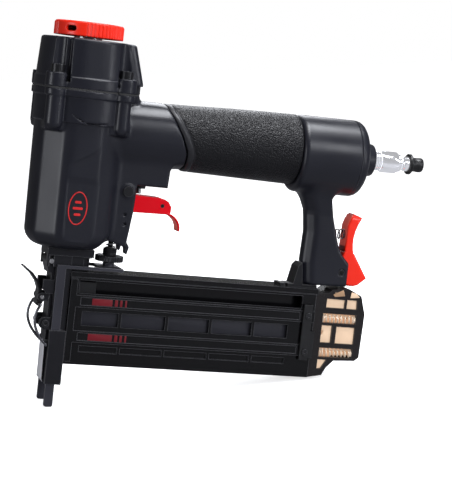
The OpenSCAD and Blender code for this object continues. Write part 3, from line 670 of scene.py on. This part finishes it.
# ------------------------------------------------------------------ turned, flat and wire pieces
def lathe(name, profile, look, body, replaces, seg=96, reshape=None):
    """Turns a closed profile of (x, radius) about the drum axis.
    reshape(x, radius, angle) may change a radius."""
    verts = []
    for (t, radius) in profile:
        for k in range(seg):
            a = 2 * math.pi * k / seg
            r = reshape(t, radius, a) if reshape else radius
            verts.append((t, r * math.cos(a), DRUM_Z + r * math.sin(a)))
    piece = new_object(name, metres(verts), ring_faces(len(profile), seg), look, body,
                       replaces=replaces)
    auto_smooth(piece, 40)


def rounded(loop, radius):
    """Rounds the corners of a closed flat loop; nearly straight ones stay."""
    steps = 4
    out = []
    for i in range(len(loop)):
        corner = Vector(loop[i])
        to_last = Vector(loop[i - 1]) - corner
        to_next = Vector(loop[(i + 1) % len(loop)]) - corner
        angle = to_last.angle(to_next)
        if radius <= 0 or angle > math.pi - 0.08:
            out.append(tuple(corner))
            continue
        setback = min(radius / math.tan(angle / 2), to_last.length * 0.48, to_next.length * 0.48)
        start = corner + to_last.normalized() * setback
        end = corner + to_next.normalized() * setback
        for s in range(steps + 1):
            q = s / steps
            out.append(tuple((1 - q) ** 2 * start + 2 * q * (1 - q) * corner + q * q * end))
    return out


def rectangle(x0, x1, z0, z1):
    return [(x0, z0), (x1, z0), (x1, z1), (x0, z1)]


def slab(name, loop, y0, y1, look, body, slot, corner, bevel, seg=2):
    """A flat (x, z) outline from y0 to y1, with rounded corners and bevelled rims."""
    bm = bmesh.new()
    verts = [bm.verts.new((p[0] / 1000, y0 / 1000, p[1] / 1000)) for p in rounded(loop, corner)]
    face = bm.faces.new(verts)
    grown = bmesh.ops.extrude_face_region(bm, geom=[face])
    top = [g for g in grown["geom"] if isinstance(g, bmesh.types.BMVert)]
    bmesh.ops.translate(bm, verts=top, vec=(0, (y1 - y0) / 1000, 0))
    bmesh.ops.recalc_face_normals(bm, faces=bm.faces)
    rims = [e for e in bm.edges if abs(e.verts[0].co.y - e.verts[1].co.y) < 1e-7]
    bmesh.ops.bevel(bm, geom=rims, offset=bevel / 1000, segments=seg, profile=0.5,
                    affect="EDGES", clamp_overlap=True)
    mesh = bpy.data.meshes.new(name)
    bm.to_mesh(mesh)
    bm.free()
    auto_smooth(place_mesh(name, mesh, look, body, slot), 35)


def slab_pair(name, loop, inner, outer, look, body, slot, corner):
    """The same slab on both sides, between two distances from the middle plane."""
    for side, label in SIDES:
        y0, y1 = sorted((side * inner, side * outer))
        slab("%s_%s" % (name, label), loop, y0, y1, look, body, slot, corner, bevel=0.1)


def wire(name, path, radius, look, body, replaces, seg=12):
    """A round wire through points in mm."""
    points = [Vector(p) / 1000 for p in path]
    verts = []
    last = len(points) - 1
    up = None
    for i, point in enumerate(points):
        along = (points[min(i + 1, last)] - points[max(i - 1, 0)]).normalized()
        if up is None:
            up = along.orthogonal().normalized()
        up = (up - along * up.dot(along)).normalized()
        across = along.cross(up)
        for k in range(seg):
            a = 2 * math.pi * k / seg
            verts.append(tuple(point + (up * math.cos(a) + across * math.sin(a)) * radius / 1000))
    faces = ring_faces(len(points), seg, closed=False)
    faces.append(tuple(reversed(range(seg))))
    faces.append(tuple(range(last * seg, (last + 1) * seg)))
    new_object(name, verts, faces, look, body, slot="steel", replaces=replaces)


def coil_path(start, end, radius, turns, steps):
    """Points on a coil, steps to a turn, its end turns lying flat."""
    flat_turns = 0.7
    start, end = Vector(start), Vector(end)
    along = end - start
    length = along.length
    along.normalize()
    u = along.orthogonal().normalized()
    v = along.cross(u)
    out = []
    total = int(turns * steps)
    for i in range(total + 1):
        turn = i / total * turns
        rise = min(max((turn - flat_turns) / (turns - 2 * flat_turns), 0), 1)
        a = 2 * math.pi * turn
        out.append(tuple(start + along * (length * rise)
                         + (u * math.cos(a) + v * math.sin(a)) * radius))
    return out


# ------------------------------------------------------------------ grip
# slanted front edge of the sleeve: z, x
GRIP_EDGE = np.array([(204.0, 52.2), (201.3, 53.2), (193.3, 57.6), (181.4, 64.1), (170.6, 68.6),
                      (160, 69.3), (155, 69.3)])
# front rim and groove: distance behind the edge, radius offset
GRIP_RIM = [(0, -1.2), (0.25, -0.45), (0.8, -0.05), (2.0, 0.1), (3.6, 0.1), (4.0, -0.25),
            (4.4, -0.38), (4.8, -0.2), (5.2, 0.06)]
GRIP_SIDES, GRIP_STEPS = 144, 26
GRIP_INNER = 18.1


def grip_radius(x):
    return 21.0 + (x - 50) * 2.35 / 95.7


def grip_section(angle):
    """The closed section of the sleeve at one angle round the handle, 0 at the top."""
    side, rise = math.sin(angle), math.cos(angle)
    edge = 60.0
    for _ in range(6):  # settles on where the slanted edge meets the sleeve
        edge_z = HANDLE_Z + grip_radius(edge) * rise
        edge = float(np.interp(-edge_z, -GRIP_EDGE[:, 0], GRIP_EDGE[:, 1]))
    stations = [(edge + 0.05 + back, offset) for back, offset in GRIP_RIM]
    body_start = stations[-1][0]
    for i in range(1, GRIP_STEPS + 1):
        stations.append((body_start + (144.6 - body_start) * i / GRIP_STEPS, 0.06))
    stations += [(145.2, -0.2), (145.55, -1.0)]
    section = []
    for x, offset in stations:
        # a slight swell, fullest at the top and none at the bottom
        swell = 0.35 * math.sin(math.pi * np.clip((x - 70) / 75, 0, 1)) * (0.5 + 0.5 * rise)
        r = grip_radius(x) + swell + offset
        section.append((x, r * side, HANDLE_Z + r * rise))
    for x in (145.55, edge + 0.05 + 0.3):
        section.append((x, GRIP_INNER * side, HANDLE_Z + GRIP_INNER * rise))
    return section


def grip():
    sections = [grip_section(2 * math.pi * k / GRIP_SIDES) for k in range(GRIP_SIDES)]
    size = len(sections[0])
    verts = metres([point for section in sections for point in section])
    piece = new_object("grip_rubber_sleeve", verts, ring_faces(GRIP_SIDES, size), "grip_rubber",
                       "frame", replaces="grip_sleeve")
    piece.data.materials.append(MATERIALS["grip_smooth"])
    # the rim is plain rubber
    for face in piece.data.polygons:
        if face.vertices[0] % size < 8 or face.index % size < 8:
            face.material_index = 1
    auto_smooth(piece, 60)


grip()

# ------------------------------------------------------------------ end cap, plug, dust cap
# profiles, (x, radius)
END_CAP = [(182.0, 19.6), (182.0, 22.3), (186.92, 22.3), (186.92, 25.65), (188.6, 25.6),
           (190.2, 25.1), (191.8, 24.0), (192.9, 22.5), (193.6, 20.8), (193.9, 19.0),
           (194.2, 12.4), (194.6, 11.7), (201.9, 10.8), (202.6, 10.5), (202.9, 9.8),
           (202.9, 6.52), (187.0, 6.52), (187.0, 19.6)]
PLUG_REAR = [(209.1, 5.9), (209.12, 6.5), (209.9, 7.3), (221.0, 7.3), (221.85, 6.4),
             (221.95, 5.7), (222.6, 5.9), (223.6, 5.9), (224.4, 5.1), (225.4, 4.4),
             (226.2, 4.4), (226.8, 5.0), (229.5, 5.0), (229.88, 4.6), (229.9, 3.9),
             (237.2, 3.9), (237.9, 3.2), (237.9, 2.4)]
DUST_CAP = [(230.0, 3.95), (230.0, 6.8), (230.3, 7.05), (231.6, 7.05), (232.0, 6.7),
            (232.15, 5.2), (233.2, 4.75), (236.4, 4.75), (236.8, 4.95), (239.6, 4.9),
            (240.3, 4.5), (240.6, 3.6), (240.6, 0.01), (238.4, 0.01), (238.4, 3.95)]
THREAD_START, THREAD_PITCH, THREAD_TURNS = 197, 1.15, 11
HEX_FRONT, HEX_REAR, HEX_HALF_FLATS = 209.0, 221.9, 6.45


def hexagon(x, radius, angle):
    """Trims the plug to a hexagon between its two ends."""
    if HEX_FRONT < x < HEX_REAR:
        from_flat = (angle + math.pi / 6) % (math.pi / 3) - math.pi / 6
        return min(radius, HEX_HALF_FLATS / math.cos(from_flat))
    return radius


def plug_profile():
    profile = [(196.2, 2.4), (196.2, 6.2)]
    for i in range(THREAD_TURNS):
        t = THREAD_START + i * THREAD_PITCH
        profile += [(t, 6.4), (t + 0.55, 5.75)]
    return profile + PLUG_REAR


lathe("end_cap_shell", END_CAP, "body_black", "frame", replaces="end_cap", seg=128)
lathe("air_plug_body", plug_profile(), "chrome", "frame", replaces="air_plug", reshape=hexagon)
lathe("plug_dust_cap", DUST_CAP, "plastic_black", "dust_cap_body", replaces="dust_cap")

# ------------------------------------------------------------------ release lever
RELEASE = [(193.1, 140.9), (199.7, 138.6), (197.3, 133.9), (195.8, 129.4), (195.0, 125.0),
           (194.9, 120.5), (195.5, 115.9), (198.1, 111.6), (202.8, 104.6), (207.5, 97.6),
           (201.6, 92.6), (198.6, 91.6), (194, 91.6), (190.4, 95.6), (187.9, 97.3), (185, 98.2),
           (184.2, 100.8), (185, 103.6), (187, 108), (188.4, 112), (189.2, 115.4), (189.5, 121),
           (189.6, 126.6), (189.7, 132.2), (191.0, 136.4)]
# outline of a thin strip on the lever's front face, coloured as painted light
RELEASE_LIT_STRIP = [(189.35, 116.5), (189.44, 126.6), (189.54, 132.3), (190.85, 136.5),
                (192.6, 139.9), (193.0, 139.7), (191.3, 136.3), (190.0, 132.1), (189.9, 126.6),
                (189.8, 116.5)]


def release_field(x, y, z):
    outline = polygon(x, z, RELEASE)
    half_width = 6.5 - ramp(z - 136.5, 4.5) ** 1.5 * 2.4
    d = extrude(outline, y, half_width, 1.1)
    # shallow groove across the arm
    groove = np.abs((z - 114.6) + (x - 192) * 0.12) - 0.35
    d = cut(d, smax(groove, -(outline + 0.7), 0.2), 0.2)
    return cut(d, dist(x - RELEASE_PIN[0], z - RELEASE_PIN[1]) - RELEASE_PIN_HOLE)


field_piece("magazine_release_lever", release_field, low=(182, -10, 90), high=(211, 10, 144),
            step=0.5, look="red_plastic", body="release_body", replaces="release_lever")
# painted light: a lighter red strip on the lever's front face
slab("lever_front_painted_light", RELEASE_LIT_STRIP, -5.3, 5.3, "red_painted_light", "release_body", "red_plastic",
     corner=0.1, bevel=0.08)

# ------------------------------------------------------------------ trigger
TRIGGER_OUTER = [(30.6, 129.2), (38, 129.1), (64, 129.5), (65.1, 131), (65.2, 134.4),
                 (63.2, 137.6), (60.4, 139.2), (56, 140.0), (39, 140.5), (37, 143.4),
                 (35.6, 145.8), (30.4, 145.8), (29.4, 142)]
TRIGGER_INNER = [(26, 130.5), (61.8, 130.9), (63.8, 132.6), (63.8, 134.4), (62.0, 137.0),
                 (60, 152), (26, 152)]
TIP_X, TIP_Z = 61.6, 119.6       # centre of the curled finger tip


def trigger_field(x, y, z):
    d = extrude(polygon(x, z, TRIGGER_OUTER), y, 6, 0.5)
    d = cut(d, extrude(polygon(x, z, TRIGGER_INNER), y, 4.9, 0.3), 0.25)
    # curled finger tip: part of a ring
    half_width = 6.0 - ramp(126 - z, 8) * 1.0
    tip = smax(np.abs(dist(x - TIP_X, z - TIP_Z) - 10.3) - 0.62, np.abs(y) - half_width, 0.5)
    tip = smax(tip, np.maximum(63.0 - x, 118.9 - z), 0.4)
    tip = smax(tip, z - 130.0, 0.3)
    d = smin(d, tip, 0.9)
    # pin hole, small cross hole, clearance under the pivot
    d = cut(d, dist(x - TRIGGER_PIN[0], z - TRIGGER_PIN[1]) - 1.6)
    d = cut(d, dist(x - 59, z - 134.8) - 1.25, 0.15)
    return cut(d, box(x, y, z, (20, -9, 120), (36, 9, 131.5), 0.2))


def tip_arc(radius):
    angles = [math.radians(t) for t in range(2, 62, 6)]
    return [(TIP_X + radius * math.cos(t), TIP_Z + radius * math.sin(t)) for t in angles]


field_piece("trigger_lever", trigger_field, low=(28, -7.5, 117), high=(74, 7.5, 148), step=0.36,
            look="trigger_red", body="trigger_body", replaces="trigger")
# painted highlight: a lighter red band on the inner face of the curled tip
slab("trigger_tip_painted_highlight", tip_arc(9.52) + tip_arc(9.85)[::-1], -4.5, 4.5, "red_painted_light",
     "trigger_body", "trigger_red", corner=0.05, bevel=0.05, seg=1)

# ------------------------------------------------------------------ springs as wound wire
# name, (start, end, coil radius, turns, steps a turn), wire radius, look, body, CAD piece, sides
SPRINGS = [
    ("lever_coil", ((180.9, 0, 126), (189.3, 0, 126), 3.2, 4.5, 24),
     0.45, "wire_black", "frame", "lever_spring", 12),
    ("safety_coil", ((WHEEL_X, 0, 104.5), (WHEEL_X, 0, 114.5), 2.9, 5.0, 24),
     0.45, "steel", "frame", "safety_spring", 12),
    ("valve_coil", ((VALVE_X, 0, 154.6), (VALVE_X, 0, 164.4), 3.4, 5, 20),
     0.45, "steel", "frame", "valve_spring", 12),
    ("head_valve_coil", ((0, 0, 217.1), (0, 0, 226.9), 19, 3.6, 40),
     0.95, "steel", "frame", "head_valve_spring", 12),
    ("pusher_coil", ((20.6, 0, 40.6), (170, 0, 40.6), 2.5, 26, 16),
     0.4, "steel", "magazine_body", "pusher_spring", 8),
]
# the four buffer springs, (y, z); the first stands for the CAD piece
for i, (y, z) in enumerate(((-9.1, 69.2), (-9.1, 45.9), (9.1, 69.2), (9.1, 45.9))):
    SPRINGS.append(("buffer_coil_%d" % (i + 1), ((178.0, y, z), (200.4, y, z), 2.25, 9.5, 20),
                    0.55, "coil_painted_glow", "magazine_body", None if i else "buffer_springs", 10))
for name, coil, radius, look, body, replaced, seg in SPRINGS:
    wire(name, coil_path(*coil), radius, look, body, replaced, seg)

# ------------------------------------------------------------------ wire bail and latch
LATCH = [(-16.9, 68.4), (-16.8, 72), (-16.7, 74.8), (-18.4, 79.2), (-22.0, 83.8), (-27.6, 88.3),
         (-27.0, 89.4), (-20.9, 85.0), (-17.0, 80.2), (-15.0, 75.6), (-12.2, 72.4), (-12.0, 68),
         (-13.9, 64.6), (-15.6, 63.7), (-17.3, 64.6)]
BAIL_ARM_Y = 12.9


def curve(a, b, c, steps):
    """Quadratic curve from a to c, pulled towards b."""
    a, b, c = np.array(a), np.array(b), np.array(c)
    return [tuple((1 - t) ** 2 * a + 2 * t * (1 - t) * b + t * t * c)
            for t in [i / steps for i in range(steps + 1)]]


def bail_side(side):
    """One side of the bail, from the pivot down to the turned-in end."""
    x, z = BAIL_PIVOT
    arm_y = side * BAIL_ARM_Y
    top, bottom = (x, arm_y, z), (-9.6, arm_y, 40.2)
    head = curve((x, side * 11.2, z), (x, side * 12.7, 65.9), top, 6)
    arm = curve(top, (-23.6, arm_y, 53.2), bottom, 24)
    tail = curve(bottom, (-9.3, arm_y, 39.7), (-9.6, side * 10.9, 39.9), 6)
    return head[:-1] + arm + tail[1:]


def latch_field(x, y, z):
    half_width = 5.0 + ramp(z - 76, 10) * 1.2
    d = extrude(polygon(x, z, LATCH), y, half_width, 0.5)
    d = cut(d, dist(x + 14.2, z - 70) - 1.27)
    return cut(d, dist(x - BAIL_PIVOT[0], z - BAIL_PIVOT[1]) - 0.95)


wire("wire_bail_loop", bail_side(-1)[::-1] + bail_side(1), 0.9, "wire_black", "bail_body",
     replaces="wire_bail", seg=14)
field_piece("door_latch_lever", latch_field, low=(-29, -7, 62), high=(-10, 7, 91), step=0.36,
            look="black_steel", body="latch_body", replaces="latch_lever")


# ------------------------------------------------------------------ depth wheel
def wheel_field(x, y, z):
    u = x - WHEEL_X
    r = dist(u, y)
    # knurled disc, upper and lower hubs
    d = smax(r - (9.05 + 0.22 * np.cos(np.arctan2(y, u) * 30)), np.abs(z - 97.5) - 2.0, 0.7)
    d = smin(d, smax(r - 4.4, np.abs(z - 99.5) - 1.5, 0.4), 0.5)
    d = smin(d, smax(r - 5.4, np.abs(z - 96.2) - 1.0, 0.3), 0.2)
    # ring groove on top, centre hole, end faces
    d = cut(d, smax(np.abs(r - 6.9) - 1.0, 98.9 - z, 0.3), 0.3)
    d = cut(d, r - 2.1)
    return np.maximum(d, np.maximum(z - 100.98, 95.6 - z))


field_piece("depth_adjust_wheel", wheel_field, low=(18.5, -10, 94.5), high=(38.8, 10, 102),
            step=0.34, look="black_steel", body="wheel_body", replaces="depth_wheel")

# ------------------------------------------------------------------ soft edges on CAD pieces
SOFT_WIDTHS = {  # bevel width, mm
    "magazine_cover": 0.45, "magazine_rail": 0.5, "nose_body": 0.45, "front_door": 0.6,
    "rear_cap_frame": 0.7, "gusset_bracket": 0.4, "side_block": 0.5, "contact_foot": 0.35,
    "nail_pusher": 0.5, "trigger_yoke": 0.25, "nose_screws": 0.2, "head_screws": 0.3,
    "safety_link": 0.25}
for cad_piece in NODES.values():
    auto_smooth(cad_piece, 30)
for node_name, width in SOFT_WIDTHS.items():
    soften_edges(NODES[node_name], width / 1000)

# ------------------------------------------------------------------ plates and clear panes
CLEAR_PANES = [
    [(178.8, 76.7), (191.8, 76.7), (191.8, 82.4), (178.8, 82.7)],
    [(193.5, 76.6), (201.0, 76.6), (200.5, 82.6), (193.5, 82.7)],
    [(177.2, 52.8), (184.6, 52.8), (184.6, 64.5), (177.2, 64.5), (177.2, 61.6), (178.9, 60.4),
     (178.4, 58.2), (177.2, 57.4)],
    rectangle(187.9, 201.2, 52.6, 64.0),
    [(176.9, 41.1), (183.2, 41.0), (179.7, 35.2), (176.9, 34.8)]]
CLIP_A = [(182.6, 85.7), (189.8, 89.4), (191.2, 85.3), (184.0, 84.2)]
CLIP_B = [(195.8, 88.1), (199.4, 87.6), (202.2, 84.9), (195.2, 84.2)]
DOOR_FACE = [(-9.95, 39.4), (-9.62, 17), (-8.8, 15.3), (-8.3, 15.3), (-9.2, 17), (-9.5, 39.4)]
# a disc of painted shadow over each end of the release lever's pin hole
PIN_SHADOW_RADIUS = 1.55
PIN_SHADOW_DISC = [(RELEASE_PIN[0] + PIN_SHADOW_RADIUS * math.cos(k * math.pi / 12),
               RELEASE_PIN[1] + PIN_SHADOW_RADIUS * math.sin(k * math.pi / 12)) for k in range(24)]

slab_pair("window_plate", rectangle(9.5, 162, 53.2, 64.4), 8.75, 9.15, "plate_grey",
          "magazine_body", "magazine_black", corner=0.3)
for i, outline in enumerate(CLEAR_PANES):
    slab_pair("clear_pane_%d" % i, outline, 9.6, 10.4, "amber_clear", "magazine_body",
              "amber_clear", corner=0.25)
for name, outline, look in (("clear_clip_a", CLIP_A, "amber_dim"),
                            ("clear_clip_b", CLIP_B, "amber_clear")):
    slab_pair(name, outline, 11.45, 12.0, look, "magazine_body", "amber_clear", corner=0.3)
slab("door_face", DOOR_FACE, -7.6, 7.6, "face_grey", "door_body", "nose_grey", corner=0.1,
     bevel=0.15)
# painted shadow: dark discs in the lever pin hole on both sides of the leg
slab_pair("lever_pin_painted_shadow", PIN_SHADOW_DISC, 8.6, 9.12, "painted_hole_shadow", "frame", "black_steel",
          corner=0.0)

# ------------------------------------------------------------------ badge and rib marks
BADGE_X, BADGE_Z = -1.2, 130.3
BADGE_LEAN = 0.035               # x gained for each mm of height
BADGE_SIDES = 72
# section of the oval band: half width, half height, lift off the panel
BADGE_BAND = [(6.15, 10.6, -0.25), (6.15, 10.6, 0.16), (6.0, 10.45, 0.24), (5.6, 10.05, 0.24),
              (5.45, 9.9, 0.16), (5.45, 9.9, -0.25)]
BADGE_BARS = [(2.1, 134.2), (3.2, 130.3), (2.1, 126.4)]     # half length, z
BAR_HALF = 0.8
RIB_MARKS = [(17.6, 31.0, 67.7, 72.1), (17.0, 33.0, 44.7, 49.1)]    # x from, to, z from, to


def on_panel(side, x, z, lift):
    return (x, side * (barrel_radius(z) - BADGE_SINK + lift), z)


def badge(side, label):
    """An oval band round three bars, following the panel."""
    verts = []
    for half_width, half_height, lift in BADGE_BAND:
        for k in range(BADGE_SIDES):
            t = 2 * math.pi * k / BADGE_SIDES
            rise = half_height * math.sin(t)
            x = BADGE_X + half_width * math.cos(t) + rise * BADGE_LEAN
            verts.append(on_panel(side, x, BADGE_Z + rise, lift))
    new_object("badge_oval_" + label, metres(verts), ring_faces(len(BADGE_BAND), BADGE_SIDES),
               "mark_red", "frame", "red_plastic")
    for i, (half, z) in enumerate(BADGE_BARS):
        outline = rounded(rectangle(BADGE_X - half, BADGE_X + half, z - BAR_HALF, z + BAR_HALF),
                          0.75)
        size = len(outline)
        verts = [on_panel(side, p[0], p[1], lift) for lift in (-0.25, 0.24) for p in outline]
        faces = [tuple(range(size)), tuple(reversed(range(size, 2 * size)))]
        faces += ring_faces(2, size, closed=False)
        new_object("badge_bar_%s_%d" % (label, i), metres(verts), faces, "mark_red", "frame",
                   "red_plastic", smooth=False)


def rib_mark(name, side, outline):
    y0, y1 = sorted((side * 12.5, side * 12.72))
    slab(name, outline, y0, y1, "mark_dim", "magazine_body", "red_plastic", corner=0.3,
         bevel=0.08)


for side, label in SIDES:
    badge(side, label)
    # on each rib a block, then three bars that get narrower to the rear
    for row, (x0, x1, z0, z1) in enumerate(RIB_MARKS):
        rib_mark("rib_mark_%s_%d" % (label, row), side, rectangle(x0, x1, z0, z1))
        for i in range(3):
            bar_x = x1 + 1.6 + i * 3.4
            rib_mark("rib_bar_%s_%d_%d" % (label, row, i), side,
                     rectangle(bar_x, bar_x + 2.0 - i * 0.4, z0, z1))

# ------------------------------------------------------------------ floor
NOSE_X = -4.4                    # the nose stands at z = 0
REAR_FOOT = (181.7, 28.4)        # x, z of the rear contact
FLOOR_HALF, FLOOR_GAP = 6.0, 0.0003     # metres


def floor_material():
    """White to the camera and dark grey to other rays, so it throws back little light."""
    made = bpy.data.materials.new("floor_white")
    made.use_nodes = True
    tree = made.node_tree
    camera_ray = add_node(tree, "LightPath", {}).outputs["Is Camera Ray"]
    color = add_node(tree, "Mix", {"A": (0.16, 0.16, 0.17, 1), "B": (0.93, 0.93, 0.945, 1),
                                   "Factor": camera_ray}, data_type="RGBA")
    glow = add_node(tree, "Math", {0: camera_ray, 1: 0.72}, operation="MULTIPLY")
    set_inputs(tree.nodes["Principled BSDF"], {
        "Roughness": 0.55, "Specular IOR Level": 0.2, "Emission Color": (1, 1, 1, 1),
        "Base Color": color.outputs["Result"], "Emission Strength": glow.outputs["Value"]})
    return made


def add_floor():
    """A sloping plane through the nose and the rear foot."""
    tilt = math.atan2(REAR_FOOT[1], REAR_FOOT[0] - NOSE_X)
    verts = [(NOSE_X / 1000 + u * math.cos(tilt), v, u * math.sin(tilt) - FLOOR_GAP)
             for u in (-FLOOR_HALF, FLOOR_HALF) for v in (-FLOOR_HALF, FLOOR_HALF)]
    mesh = bpy.data.meshes.new("floor")
    mesh.from_pydata(verts, [], [(0, 2, 3, 1)])
    floor = bpy.data.objects.new("floor", mesh)
    bpy.context.scene.collection.objects.link(floor)
    mesh.materials.append(floor_material())


add_floor()


# ------------------------------------------------------------------ world and lights
def set_world():
    """White to the camera, dim to every other ray."""
    world = bpy.data.worlds.new("studio")
    bpy.context.scene.world = world
    world.use_nodes = True
    tree = world.node_tree
    camera_ray = add_node(tree, "LightPath", {}).outputs["Is Camera Ray"]
    strength = add_node(tree, "MapRange", {"To Min": 0.09, "To Max": 1.0, "Value": camera_ray})
    set_inputs(tree.nodes["Background"], {"Color": (1, 1, 1, 1),
                                          "Strength": strength.outputs["Result"]})


def add_sun(name, strength, spread, tilt):
    """spread and tilt (about X, about Y) in degrees."""
    light = bpy.data.lights.new(name, "SUN")
    light.energy = strength
    light.angle = math.radians(spread)
    lamp = bpy.data.objects.new(name, light)
    bpy.context.scene.collection.objects.link(lamp)
    lamp.rotation_euler = (math.radians(tilt[0]), math.radians(tilt[1]), 0)


def add_panel(name, place, target, width, height, power, glossy=True):
    """An area light in metres and watts, aimed at target; glossy lets it show in shine."""
    light = bpy.data.lights.new(name, "AREA")
    light.energy = power
    light.shape = "RECTANGLE"
    light.color = (0.93, 0.95, 1.0)
    light.size, light.size_y = width, height
    lamp = bpy.data.objects.new(name, light)
    bpy.context.scene.collection.objects.link(lamp)
    lamp.visible_glossy = glossy
    lamp.location = place
    aim = Vector(target) - Vector(place)
    lamp.rotation_euler = aim.to_track_quat("-Z", "Y").to_euler()


set_world()
bpy.context.scene.view_settings.view_transform = "Standard"
bpy.context.scene.view_settings.look = "None"

add_sun("overhead", strength=1.25, spread=38, tilt=(8, -6))
add_panel("left_panel", place=(-0.98, -0.34, 0.05), target=(0.0, 0, 0.14),
          width=0.26, height=0.75, power=3.9)
add_panel("front_fill", place=(0.35, -1.15, 0.35), target=(0.1, 0, 0.12),
          width=0.5, height=0.5, power=7.0, glossy=False)
add_panel("right_strip", place=(0.92, -0.74, 0.12), target=(0.1, 0, 0.13),
          width=0.07, height=0.7, power=2.6)
add_panel("front_soft", place=(0.55, -1.0, 0.75), target=(0.1, 0, 0.12),
          width=0.35, height=0.35, power=3.5)
add_panel("back_rim", place=(0.3, 0.9, 0.75), target=(0.1, 0, 0.12),
          width=0.5, height=0.5, power=4)
add_panel("top_soft", place=(0.32, -0.12, 1.1), target=(0.12, 0, 0.15),
          width=0.65, height=0.3, power=9)

# ------------------------------------------------------------------ camera
CAMERA_TURN, CAMERA_RISE, CAMERA_ROLL = -17.78, 5.34, 6.43     # degrees
CAMERA_TARGET = (106.49, 0, 116.52)     # mm
CAMERA_DISTANCE = 1049.17               # mm
CAMERA_LENS = 119.213585                # mm


def add_camera():
    turn, rise, roll = [math.radians(v) for v in (CAMERA_TURN, CAMERA_RISE, CAMERA_ROLL)]
    back = Vector((math.sin(turn) * math.cos(rise), -math.cos(turn) * math.cos(rise),
                   math.sin(rise)))
    level = Vector((math.cos(turn), math.sin(turn), 0))
    upright = back.cross(level)
    right = level * math.cos(roll) + upright * math.sin(roll)
    up = -level * math.sin(roll) + upright * math.cos(roll)
    data = bpy.data.cameras.new("camera")
    camera = bpy.data.objects.new("camera", data)
    bpy.context.scene.collection.objects.link(camera)
    camera.rotation_mode = "QUATERNION"
    camera.rotation_quaternion = Matrix((right, up, back)).transposed().to_quaternion()
    camera.location = (Vector(CAMERA_TARGET) + back * CAMERA_DISTANCE) / 1000
    data.sensor_width = 36
    data.lens = CAMERA_LENS
    data.clip_start = 0.05
    bpy.context.scene.camera = camera


add_camera()
